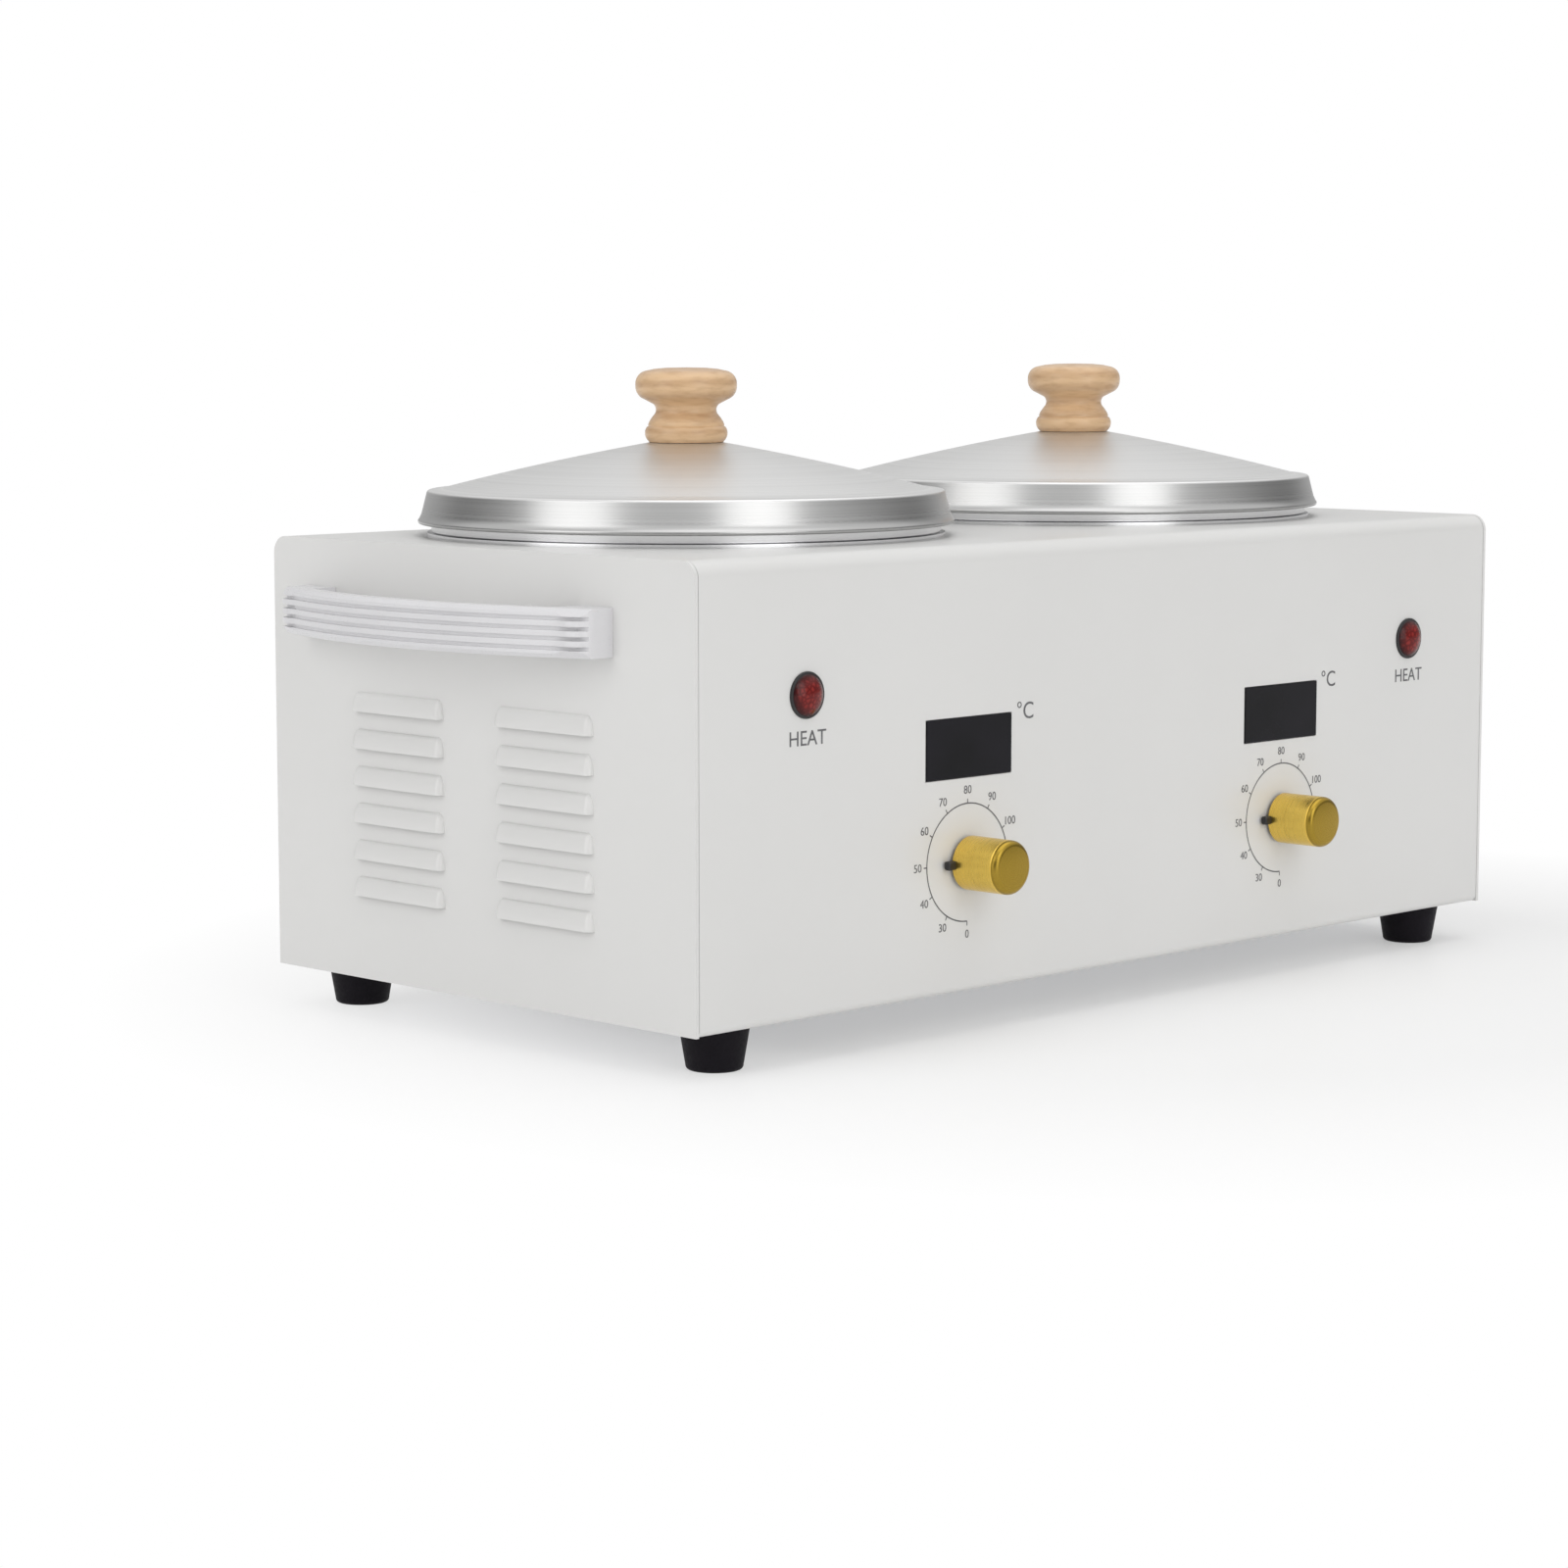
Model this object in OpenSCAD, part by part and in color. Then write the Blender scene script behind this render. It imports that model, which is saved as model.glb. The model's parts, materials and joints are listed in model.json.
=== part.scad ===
// Twin wax warmer: a sheet-metal housing that carries two lidded aluminium pots,
// each in its own heating well with a thermostat, a temperature display and a lamp.
// Millimetres. X runs along the front from left to right, Y from front to back, Z up.
// The housing is drawn with its underside at z = 0 and its middle at x = y = 0,
// and in_frame() then lifts it on its feet and centres its footprint on the origin.

/* [Housing] */
// Width of the housing over both side panels
body_w = 360; // [324:1:420]
// Depth of the housing from its front face to its back face
body_d = 180; // [162:1:220]
// Height of the housing without its feet
body_h = 128; // [122:1:160]
// Thickness of the folded housing sheet and of the base plate
sheet_t = 1; // [0.8:0.1:1.4]
// Thickness of the side panels
side_t = 1.2; // [1:0.1:2]
// Outer radius of the bends along the top front and top back edges
bend_r = 5; // [3:0.5:8]
// Outer radius of the bends along the bottom edges
low_bend_r = 2; // [1.8:0.1:3]
// Depth of the inner flanges round each side panel
flange_w = 11; // [8:1:12]
// Gap of the seam between a side panel and the folded sheet
seam_gap = 0.2; // [0.1:0.05:0.4]
// Clearance between a flange or the base plate and the sheet round it
sheet_fit = 0.2; // [0.1:0.05:0.4]

/* [Louvres] */
// Number of louvres in each column
louvre_rows = 6; // [3:1:6]
// Length of one louvre
louvre_len = 40; // [30:1:42]
// Height of one louvre's hood
louvre_h = 5.6; // [4:0.1:7]
// How far a hood stands out from the panel
louvre_out = 2.2; // [1.8:0.1:3]
// Vertical distance from one louvre to the next
louvre_pitch = 10.8; // [9:0.1:12]
// Height of the lowest louvre's slot above the housing's underside
louvre_z = 24.6; // [16:0.1:30]
// Distance between the middles of the two louvre columns
louvre_span = 63; // [50:1:70]
// Distance of the louvres' middle behind the housing's middle
louvre_shift = 1.5; // [-6:0.5:6]

/* [Feet] */
// Height of a foot
foot_h = 12.5; // [10:0.5:20]
// Radius of a foot where it meets the floor
foot_low_r = 8; // [7:0.1:9]
// Radius of a foot under the housing
foot_top_r = 9.9; // [9:0.1:12]
// Radius of the rounded lower edge of a foot
foot_edge_r = 1.2; // [0.6:0.1:1.6]
// Distance of a foot's middle from the side of the housing
foot_in_x = 20.2; // [18:0.1:30]
// Distance of a foot's middle from the front or back of the housing
foot_in_y = 13.8; // [12.5:0.1:20]

/* [Handles] */
// Length of a handle from end to end
handle_len = 132; // [100:1:140]
// Height of a handle's strap
handle_h = 13.5; // [11:0.5:18]
// Thickness of a handle's strap
handle_t = 5; // [4:0.5:7]
// How far the middle of a handle stands out from the side panel
handle_out = 22; // [19:0.5:30]
// How far the strap stands out where it meets its end posts
handle_end_out = 11.5; // [10:0.5:14]
// Length of an end post
handle_post = 13; // [11:0.5:16]
// Radius of the rounded outer corners of a handle
handle_corner_r = 6; // [4:0.5:7]
// Number of grooves along the strap
handle_grooves = 4; // [2:1:4]
// Depth of a groove in the strap
groove_d = 0.7; // [0.4:0.1:1]
// Width of a groove in the strap
groove_w = 1.1; // [0.7:0.1:1.4]
// Distance of the handles' middle behind the housing's middle
handle_shift = 8; // [0:0.5:10]
// Height of the handles' middle above the housing's underside
handle_z = 107.3; // [96:0.1:110]

/* [Pots] */
// Thickness of a pot's wall
pot_t = 1.2; // [1:0.1:2]
// Depth of a pot below its resting step
pot_depth = 80; // [60:1:84]
// Radius of the rounded bottom edge of a pot
pot_round_r = 6; // [4:0.5:10]
// How far the collar stands out from the pot's wall
collar_out = 6.2; // [5:0.1:7]
// Height of the collar above the resting step
collar_h = 11.3; // [9:0.1:14]
// Radius of the rolled bead round the top of the collar
pot_bead_r = 0.9; // [0.8:0.05:1.1]

/* [Lids] */
// Thickness of a lid's sheet
lid_t = 1; // [0.8:0.1:1.2]
// Outer radius of a lid's shoulder beyond the pot's bead
lid_fit = 1; // [0.9:0.1:2]
// How far a lid's lip flares out beyond its shoulder
lid_flare = 2.4; // [1.5:0.1:4]
// Depth of a lid's skirt
skirt_h = 9; // [7:0.1:9.4]
// Radius of the rolled lip
lip_r = 0.75; // [0.6:0.05:0.9]
// Width of the flat shoulder round the dome
shoulder_w = 5; // [4:0.1:8]
// Height of the dome above the shoulder
dome_h = 14.3; // [10:0.1:20]

/* [Lid knobs] */
// Height of a wooden knob
wood_h = 22.2; // [20:0.1:26]
// Widest radius of a wooden knob
wood_r = 15.1; // [14:0.1:17]
// Radius of a wooden knob's foot
wood_foot_r = 12.3; // [11.5:0.1:13]
// Radius of a wooden knob's neck
wood_neck_r = 8.5; // [7.5:0.1:9]
// Height of the neck's narrowest place
wood_neck_z = 8.1; // [7.6:0.1:8.6]

/* [Heating wells] */
// Gap between a pot's wall and its heating well
well_gap = 1.2; // [0.6:0.1:1.6]
// Gap between a pot's bottom and the well's floor
well_float = 0.5; // [0.3:0.1:1]
// Thickness of a well's wall
well_t = 1; // [0.8:0.1:1.5]
// Width of the well's flange on top of the housing
well_flange_w = 5.2; // [4.2:0.1:7]
// Height of a band heater
band_h = 40; // [30:1:46]
// Thickness of a band heater
band_t = 3; // [2:0.1:3.4]
// Height of the band heater above the well's underside
band_lift = 14.5; // [10:0.5:20]
// Height of an insulation sleeve
sleeve_h = 54; // [48:1:60]
// Thickness of an insulation sleeve
sleeve_t = 3.5; // [2:0.1:3.8]
// Gap between an insulation sleeve and the back of the housing
rear_gap = 0.9; // [0.5:0.1:3]
// Gap between an insulation sleeve and the displays' cases
front_gap = 5.9; // [3:0.1:12]
// Gap between an insulation sleeve and the flange of the side panel
side_gap = 1.2; // [0.5:0.1:4]
// Gap between the two insulation sleeves
middle_gap = 18.8; // [14:0.1:24]

/* [Front panel] */
// Distance of a dial inward from the middle of its pot
dial_in = 15.5; // [8:0.5:20]
// Height of a dial above the housing's underside
dial_z = 37.4; // [34:0.1:40]
// Distance of a display inward from the middle of its pot
display_in = 16; // [8:0.5:20]
// Height of a display's middle above the housing's underside
display_z = 70.5; // [68:0.1:76]
// Width of a display window
display_w = 36; // [30:0.5:40]
// Height of a display window
display_h = 17.2; // [14:0.1:19]
// Depth of a display's case behind the front panel
display_case_d = 14; // [10:0.5:14]
// Distance of a lamp from the side of the housing
lamp_in = 42; // [34:0.5:48]
// Height of a lamp above the housing's underside
lamp_z = 89.7; // [82:0.1:96]
// Radius of a lamp's bezel
lamp_bezel_r = 6.5; // [6.2:0.1:8]
// Height of a lamp's lens in front of its bezel
lens_h = 2.6; // [1.5:0.1:4]

/* [Dials] */
// Radius of a dial's gold cap
dial_r = 7.8; // [7.5:0.1:9]
// Length of a dial's gold cap
dial_len = 15; // [13:0.5:20]
// Thickness of the black pointer ring behind the cap
pointer_t = 2.3; // [2.2:0.1:3]
// How far the pointer's nub stands out from the cap
pointer_out = 2.8; // [1.5:0.1:4]
// Width of the pointer's nub
pointer_w = 3; // [2:0.1:4]
// Gap between a dial and the front panel
dial_gap = 0.5; // [0.3:0.1:1]

/* [Power inlet] */
// Distance of the inlet from the right side of the housing
inlet_in = 60; // [50:1:80]
// Height of the inlet's middle above the housing's underside
inlet_z = 27; // [20:0.5:30]

/* [Hidden] */
$fn = 96;
eps = 0.02;

// Clearances
bore_fit = 0.05;
hole_fit = 0.2;
cut_fit = 0.3;
ring_fit = 0.1;
touch = 0.1;

// Housing
wall_y = body_d / 2 - sheet_t;
wrap_w = body_w - 2 * (side_t + seam_gap);
floor_z = 2 * sheet_t;
return_margin = 2;
return_w = foot_in_y + foot_top_r + return_margin;

// Louvre hoods, drawn thinner than the panel that they are pressed from
hood_t = side_t * 0.6;
hood_top_t = side_t * 0.9;
hood_steps = 8;

// Screws: thread radius, head radius and head height
m3 = [1.5, 2.8, 1.8];
m4 = [2, 3.8, 2.6];
nut_h = 3.2;
nut_r = 4.04;
base_screw_in = 6;
base_screw_len = 7;
base_screw_pitch = 40;
foot_bore_r = m4[1] + 0.5;
foot_bore_d = 7;

// Heating wells and pots, all round an upright axis through the pot's middle.
// Each insulation sleeve fills the room that it has across or along the housing,
// whichever is less, and what stands inside it follows from its radius.
side_room = body_w / 2 - side_t - flange_w - side_gap;
front_room = wall_y - display_case_d - front_gap;
rear_room = wall_y - rear_gap;
sleeve_r = min((side_room - middle_gap / 2) / 2, (front_room + rear_room) / 2);
band_r = sleeve_r - sleeve_t - 2 * ring_fit;
well_r = band_r - band_t - ring_fit;
pot_r = well_r - well_t - well_gap;
well_flange_r = well_r + well_flange_w;
pot_x = (side_room + middle_gap / 2) / 2;
pot_y = (rear_room - front_room) / 2;
step_z = body_h + well_t;
pot_low = step_z - pot_depth;
well_in_low = pot_low - well_float;
well_low = well_in_low - well_t;
collar_r = pot_r + collar_out;
rim_z = step_z + collar_h;
band_z = well_low + band_lift;
sleeve_z = band_z + (band_h - sleeve_h) / 2;
split_a = 220;
clamp_share = 0.55;
clamp_over = 3;
band_split = 12;
sleeve_split = 50;
lug_len = 8;
lug_t = 2.5;
lug_h = 32;

// Vent slots in the base plate, in a row under each pot
vent_l = 36;
vent_w = 3;
vent_pitch = 9;
vent_rows = 9;
vent_x = pot_x + 22;

// Lids
shoulder_r = collar_r + lid_fit + 0.3;
shoulder_z = rim_z + lid_t;
lid_lip_r = shoulder_r + lid_flare;
dome_foot_r = shoulder_r - shoulder_w;
dome_r = (dome_foot_r * dome_foot_r + dome_h * dome_h) / (2 * dome_h);
dome_top_z = shoulder_z + dome_h;
dome_c_z = dome_top_z - dome_r;
corner_r = 1.4;
lid_hole_r = m4[0] + hole_fit;
washer_r = 6.5;
washer_t = 1;
washer_z = dome_top_z - lid_t - 0.15 - washer_t;
lid_screw_len = 16;
seat_fit = 0.05;

// Handles, in plan: the strap is an arc through its middle and both ends
handle_in = handle_len / 2 - handle_post / 2;
handle_rise = handle_out - handle_end_out;
strap_r = (handle_in * handle_in + handle_rise * handle_rise) / (2 * handle_rise);
handle_screw_len = 9;
groove_pitch = handle_h / (handle_grooves + 1);
strap_edge = 1.2;

// Front panel fittings
dial_x = pot_x - dial_in;
display_x = pot_x - display_in;
lamp_x = body_w / 2 - lamp_in;
shaft_r = 3;
bush_r = 4;
bush_out = 2.4;
hex_r = 6.2;
hex_t = 2.1;
thermo_w = 28;
thermo_h = 32;
thermo_d = 20;
shaft_in = 14;
dial_wall = 1.1;
dial_end_r = 0.8;
ring_r = dial_r - dial_wall;
dial_back = dial_gap + pointer_t;
dial_reach = dial_back + dial_len;
shaft_grip = 11;
shaft_rest = 0.5;
thermo_tab_x = 8;
thermo_tab_w = 6;
thermo_tab_z = 4;
thermo_tab_t = 0.8;
case_wall = 1.5;
case_floor = 1;
lens_seat = 1;
case_rim = 3.5;
lens_t = 1.8;
lens_proud = 0.3;
lamp_r = 5.2;
lamp_lens_r = 5.3;
lamp_bezel_t = 1.3;
lamp_len = 21;
lamp_nut_r = 8;
lamp_nut_t = 3;

// Bulb of the thermostat and safety cut-out under each well
bulb_r = 2.5;
bulb_len = 46;
bulb_ahead = 0.7;
bulb_y = pot_y - well_r - bulb_ahead;
bulb_lug_in = 8;
bulb_lug_pitch = 26;
bulb_lug_l = 4;
bulb_lug_t = 1.5;
capillary_r = 0.9;
bulb_z = well_low - bulb_r - hole_fit;
lug_block = 8;
cutout_r = 8.5;
cutout_h = 7;
cutout_back = 30;
cutout_ring_t = 1.2;
cutout_ring_h = 4;
cutout_tab_x = 4;
cutout_tab_w = 4;
cutout_tab_t = 0.8;
cutout_tab_out = 6;

// Power inlet
inlet_x = body_w / 2 - inlet_in;
flange_l = 50;
flange_h = 24;
flange_t = 3;
socket_w = 24;
socket_h = 16.5;
socket_d = 17;
inlet_w = 28;
inlet_h = 20.5;
inlet_d = 24;
inlet_screw_x = 20;
inlet_screw_len = 6;
pin_w = 2;
pin_h = 4;
pin_x = 7;
pin_up = 4;
pin_drop = 1;
pin_short = 3;
tab_len = 4;
// Middles of the three pins, seen from outside
pins = [[-pin_x, -pin_drop], [pin_x, -pin_drop], [0, pin_up]];

// Terminal block on the base plate, with three ways
block_in = 60;
block_x = inlet_x - block_in;
block_w = 20;
block_l = 50;
block_h = 14;
block_gap = 1;
block_y = body_d / 2 - return_w - block_gap - block_l / 2;
way_pitch = 12;
way_screw_x = 5;
way_screw_d = 7.5;
way_screw_len = 7;
block_screw_in = 4;
screw_rest = 0.5;
wire_r = 1.1;
wire_z = floor_z + 6;
under_z = floor_z + wire_r + 1;
wire_lead = 4;
wire_sides = 10;
wire_bend = 3;
bend_share = 0.45;
bend_depth = 0.3;
pair_gap = 1.5;
trunk_x = 3;

// The footprint runs from the dials' ends to the inlet's flange
front_reach = body_d / 2 + dial_reach;
rear_reach = body_d / 2 + flange_t;
body_y = (front_reach - rear_reach) / 2;

// Colours
white_paint = [0.86, 0.86, 0.86];
white_plastic = [0.84, 0.84, 0.85];
rubber = [0.12, 0.10, 0.13];
steel = [0.62, 0.63, 0.65];
aluminium = [0.78, 0.78, 0.79];
wood = [0.80, 0.67, 0.52];
gold = [0.78, 0.66, 0.29];
black_plastic = [0.10, 0.10, 0.11];
smoked = [0.13, 0.13, 0.14];
red_lens = [0.47, 0.16, 0.16];
mica = [0.62, 0.58, 0.50];
wool = [0.90, 0.88, 0.82];
ceramic = [0.88, 0.86, 0.80];
brass = [0.75, 0.62, 0.30];
copper = [0.72, 0.45, 0.28];
wire_colour = [0.55, 0.20, 0.18];

// ---------- placing ----------

// From the housing's own frame to the part's frame
module in_frame() {
    translate([0, body_y, foot_h]) children();
}

// Draws for the right side, or mirrored for the left: side is 1 or -1
module on_side(side) {
    in_frame() if (side < 0) mirror([1, 0, 0]) children();
    else children();
}

// The upright axis through the middle of the right pot
module at_pot() {
    translate([pot_x, pot_y, 0]) children();
}

// A place on the outside of the front panel; children point out of the front along +Z
module on_front(x, z) {
    translate([x, -body_d / 2, z]) rotate([90, 0, 0]) children();
}

// A place on the outside of the back panel; children point out of the back along +Z
module on_back(x, z) {
    translate([x, body_d / 2, z]) rotate([90, 0, 180]) children();
}

// Points of an arc about [cx, cy] from angle a0 to a1
function arc(cx, cy, r, a0, a1, n) =
    [for (i = [0 : n]) let (a = a0 + (a1 - a0) * i / n) [cx + r * cos(a), cy + r * sin(a)]];

// A quarter ring of a bent sheet: outer radius r, thickness t, from angle a
module bend(cx, cy, r, t, a) {
    translate([cx, cy]) intersection() {
        difference() {
            circle(r);
            circle(r - t);
        }
        rotate(a) square(r + 1);
    }
}

// ---------- housing ----------

// End outline of the housing, in the Y-Z plane, drawn in by inset
module end_outline(inset, low) {
    y = body_d / 2 - inset;
    r = bend_r - inset;
    top = body_h - inset;
    union() {
        translate([-y, low]) square([2 * y, top - r - low]);
        translate([-y + r, low]) square([2 * (y - r), top - low]);
        for (s = [-1, 1]) translate([s * (y - r), top - r]) circle(r);
    }
}

// The folded sheet's section: front, top and back, with flanges turned in below
module wrap_section() {
    r = low_bend_r;
    y = body_d / 2;
    union() {
        difference() {
            end_outline(0, r);
            end_outline(sheet_t, r - 1);
        }
        for (s = [-1, 1]) {
            bend(s * (y - r), r, r, sheet_t, s < 0 ? 180 : 270);
            translate([s < 0 ? -y + r : y - return_w, 0]) square([return_w - r, sheet_t]);
        }
    }
}

module along_x(length) {
    translate([-length / 2, 0, 0]) rotate([90, 0, 90]) linear_extrude(height = length) children();
}

module foot_places() {
    for (sx = [-1, 1], sy = [-1, 1])
        translate([sx * (body_w / 2 - foot_in_x), sy * (body_d / 2 - foot_in_y), 0]) children();
}

module base_screw_places() {
    for (sx = [-1, 1], i = [-1 : 1])
        translate([sx * (body_w / 2 - side_t - base_screw_in), i * base_screw_pitch, 0]) children();
}

module housing_shell() {
    color(white_paint) in_frame() difference() {
        along_x(wrap_w) wrap_section();
        for (s = [-1, 1]) {
            translate([s * pot_x, pot_y, body_h - sheet_t - 1])
                cylinder(h = sheet_t + 2, r = well_r + cut_fit);
            on_front(s * display_x, display_z) cut_box(display_w, display_h);
            on_front(s * lamp_x, lamp_z) cut_round(lamp_r);
            on_front(s * dial_x, dial_z) cut_round(bush_r);
            on_back(inlet_x + s * inlet_screw_x, inlet_z) cut_round(m3[0]);
        }
        on_back(inlet_x, inlet_z) cut_box(inlet_w, inlet_h);
        foot_places() translate([0, 0, -1]) cylinder(h = sheet_t + 2, r = m4[0] + hole_fit);
    }
}

// A rectangular cut through the sheet, for a fitting of width w and height h
module cut_box(w, h) {
    translate([-w / 2 - cut_fit / 2, -h / 2 - cut_fit / 2, -sheet_t - 1])
        cube([w + cut_fit, h + cut_fit, sheet_t + 2]);
}

// A round cut through the sheet, for a fitting of radius r
module cut_round(r) {
    translate([0, 0, -sheet_t - 1]) cylinder(h = sheet_t + 2, r = r + cut_fit / 2);
}

// Columns and rows of louvres on the right side panel
module louvre_places() {
    for (c = [-1, 1], i = [0 : louvre_rows - 1])
        translate([body_w / 2, louvre_shift + c * louvre_span / 2, louvre_z + i * louvre_pitch])
            children();
}

// Section of a hood: it springs from the panel and stands out over its slot
module hood_section(grow) {
    out = louvre_out - (grow ? hood_t : 0);
    high = louvre_h - (grow ? hood_top_t : 0);
    lead = grow ? side_t + 1 : 0;
    polygon(concat(
        [[0, -lead], [out, -lead]],
        [for (i = [0 : hood_steps]) let (a = i * 90 / hood_steps) [out * cos(a), high * sin(a)]]
    ));
}

// A hood, half round in plan at both ends
module hood(grow) {
    run = louvre_len - 2 * louvre_out;
    rotate([90, 0, 0]) translate([0, 0, -run / 2]) linear_extrude(height = run)
        hood_section(grow);
    for (s = [-1, 1]) translate([0, s * run / 2, 0])
        rotate_extrude(angle = 90, start = s < 0 ? 270 : 0) hood_section(grow);
}

module side_panel() {
    x_in = body_w / 2 - side_t;
    difference() {
        union() {
            translate([x_in, 0, 0]) rotate([90, 0, 90]) linear_extrude(height = side_t)
                end_outline(0, 0);
            translate([x_in - flange_w, 0, 0]) rotate([90, 0, 90])
                linear_extrude(height = flange_w) difference() {
                    end_outline(sheet_t + sheet_fit, floor_z);
                    end_outline(2 * sheet_t + sheet_fit, floor_z + sheet_t);
                }
            louvre_places() hood(false);
        }
        louvre_places() translate([-side_t - 1, -louvre_len / 2 + louvre_out, 0])
            cube([side_t + 1 + eps, louvre_len - 2 * louvre_out, louvre_h - side_t]);
        louvre_places() translate([0, 0, -eps]) hood(true);
        handle_screw_places() translate([-side_t - 1, 0, 0]) rotate([0, 90, 0])
            cylinder(h = side_t + 2, r = m4[0] + hole_fit);
        for (i = [-1 : 1])
            translate([x_in - base_screw_in, i * base_screw_pitch, 0])
                cylinder(h = floor_z + sheet_t + 1, r = m3[0] + bore_fit);
    }
}

module left_side_panel() { color(white_paint) on_side(-1) side_panel(); }
module right_side_panel() { color(white_paint) on_side(1) side_panel(); }

module base_plate() {
    half_x = wrap_w / 2 - sheet_fit;
    half_y = body_d / 2 - low_bend_r - sheet_fit;
    color(steel) in_frame() difference() {
        translate([-half_x, -half_y, sheet_t]) cube([2 * half_x, 2 * half_y, sheet_t]);
        foot_places() cylinder(h = floor_z + 1, r = m4[0] + hole_fit);
        base_screw_places() cylinder(h = floor_z + 1, r = m3[0] + hole_fit);
        for (s = [-1, 1], i = [0 : vent_rows - 1])
            translate([s * vent_x - vent_l / 2, (i - (vent_rows - 1) / 2) * vent_pitch - vent_w / 2, 0])
                cube([vent_l, vent_w, floor_z + 1]);
        block_screw_places() cylinder(h = floor_z + 1, r = m3[0] + hole_fit);
    }
}

// A screw that points up: its head sits just below z = 0
module screw_up(size, length) {
    union() {
        translate([0, 0, -size[2]]) cylinder(h = size[2], r = size[1]);
        translate([0, 0, -size[2] / 2]) cylinder(h = length + size[2] / 2, r = size[0]);
    }
}

module base_screws() {
    color(steel) in_frame() base_screw_places() translate([0, 0, sheet_t])
        screw_up(m3, base_screw_len);
}

// ---------- feet ----------

module foot(sx, sy) {
    color(rubber) in_frame()
        translate([sx * (body_w / 2 - foot_in_x), sy * (body_d / 2 - foot_in_y), -foot_h])
        rotate_extrude() polygon(concat(
            [[foot_bore_r, foot_bore_d], [foot_bore_r, 0]],
            arc(foot_low_r - foot_edge_r, foot_edge_r, foot_edge_r, -90, 0, 6),
            [[foot_top_r, foot_h], [m4[0] + hole_fit, foot_h], [m4[0] + hole_fit, foot_bore_d]]
        ));
}

module front_left_foot() { foot(-1, -1); }
module front_right_foot() { foot(1, -1); }
module rear_left_foot() { foot(-1, 1); }
module rear_right_foot() { foot(1, 1); }

module foot_screws() {
    color(steel) in_frame() foot_places() translate([0, 0, foot_bore_d - foot_h])
        screw_up(m4, foot_h - foot_bore_d + floor_z + nut_h + 1);
}

module foot_nuts() {
    color(steel) in_frame() foot_places() translate([0, 0, floor_z]) difference() {
        cylinder(h = nut_h, r = nut_r, $fn = 6);
        translate([0, 0, -1]) cylinder(h = nut_h + 2, r = m4[0] + bore_fit);
    }
}

// ---------- handles ----------

// Two screws hold each handle from inside the housing
module handle_screw_places() {
    for (s = [-1, 1])
        translate([body_w / 2, handle_shift + s * handle_in, handle_z]) children();
}

// Axis of the strap's arc, on the right side
module at_strap() {
    translate([body_w / 2 + handle_out - strap_r, handle_shift, handle_z]) children();
}

// Plan of the strap and its two end posts
module handle_plan() {
    post_out = handle_end_out + 1;
    end_y = handle_len / 2;
    union() {
        intersection() {
            translate([handle_out - strap_r, 0]) difference() {
                circle(strap_r, $fn = 240);
                circle(strap_r - handle_t, $fn = 240);
            }
            translate([0, -handle_in]) square([handle_out + 1, 2 * handle_in]);
        }
        for (s = [-1, 1]) {
            translate([0, s < 0 ? -end_y : end_y - handle_post])
                square([post_out - handle_corner_r, handle_post]);
            translate([0, s < 0 ? -end_y + handle_corner_r : end_y - handle_post])
                square([post_out, handle_post - handle_corner_r]);
            translate([post_out - handle_corner_r, s * (end_y - handle_corner_r)])
                circle(handle_corner_r);
        }
    }
}

module handle() {
    difference() {
        translate([body_w / 2, handle_shift, handle_z - handle_h / 2])
            linear_extrude(height = handle_h) handle_plan();
        at_strap() for (i = [1 : handle_grooves])
            translate([0, 0, i * groove_pitch - handle_h / 2 - groove_w / 2])
                rotate_extrude($fn = 240) translate([strap_r - groove_d, 0])
                    square([groove_d + 2, groove_w]);
        at_strap() for (s = [-1, 1]) translate([0, 0, s * handle_h / 2])
            rotate_extrude($fn = 240) polygon([
                [strap_r - strap_edge, 0],
                [strap_r + 2, -s * (strap_edge + 2)],
                [strap_r + 2, s],
                [strap_r - strap_edge, s]
            ]);
        handle_screw_places() translate([-1, 0, 0]) rotate([0, 90, 0])
            cylinder(h = handle_screw_len - side_t + 2, r = m4[0] + bore_fit);
    }
}

module left_handle() { color(white_plastic) on_side(-1) handle(); }
module right_handle() { color(white_plastic) on_side(1) handle(); }

module handle_screws() {
    color(steel) for (side = [-1, 1]) on_side(side) handle_screw_places()
        translate([-side_t, 0, 0]) rotate([0, 90, 0]) screw_up(m4, handle_screw_len);
}

// ---------- heating wells ----------

// A spun cup: radius r, sheet t, floor from low, rounded by round_r, wall up to top
module cup_section(r, t, low, round_r, top) {
    translate([0, low]) square([r - round_r, t]);
    bend(r - round_r, low + round_r, round_r, t, 270);
    translate([r - t, low + round_r]) square([t, top - low - round_r]);
}

module heating_well() {
    difference() {
        union() {
            rotate_extrude() {
                cup_section(well_r, well_t, well_low, pot_round_r + well_t, step_z);
                translate([well_r - well_t, body_h])
                    square([well_flange_r - well_r + well_t, well_t]);
            }
            for (i = [0, 1]) translate([-dial_in - lug_block / 2,
                bulb_y - pot_y + bulb_lug_in + i * bulb_lug_pitch, bulb_z - bulb_r - bulb_lug_t])
                cube([lug_block, bulb_lug_l, well_low - bulb_z + bulb_r + bulb_lug_t + well_t / 2]);
            translate([0, cutout_back, well_low - cutout_ring_h]) difference() {
                cylinder(h = cutout_ring_h + well_t / 2, r = cutout_r + ring_fit + cutout_ring_t);
                translate([0, 0, -1])
                    cylinder(h = cutout_ring_h + 1, r = cutout_r + ring_fit);
            }
        }
        translate([-dial_in, 0, bulb_z]) rotate([90, 0, 0])
            translate([0, 0, -pot_r]) cylinder(h = 2 * pot_r, r = bulb_r + ring_fit);
    }
}

module left_heating_well() { color(aluminium) on_side(-1) at_pot() heating_well(); }
module right_heating_well() { color(aluminium) on_side(1) at_pot() heating_well(); }

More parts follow.
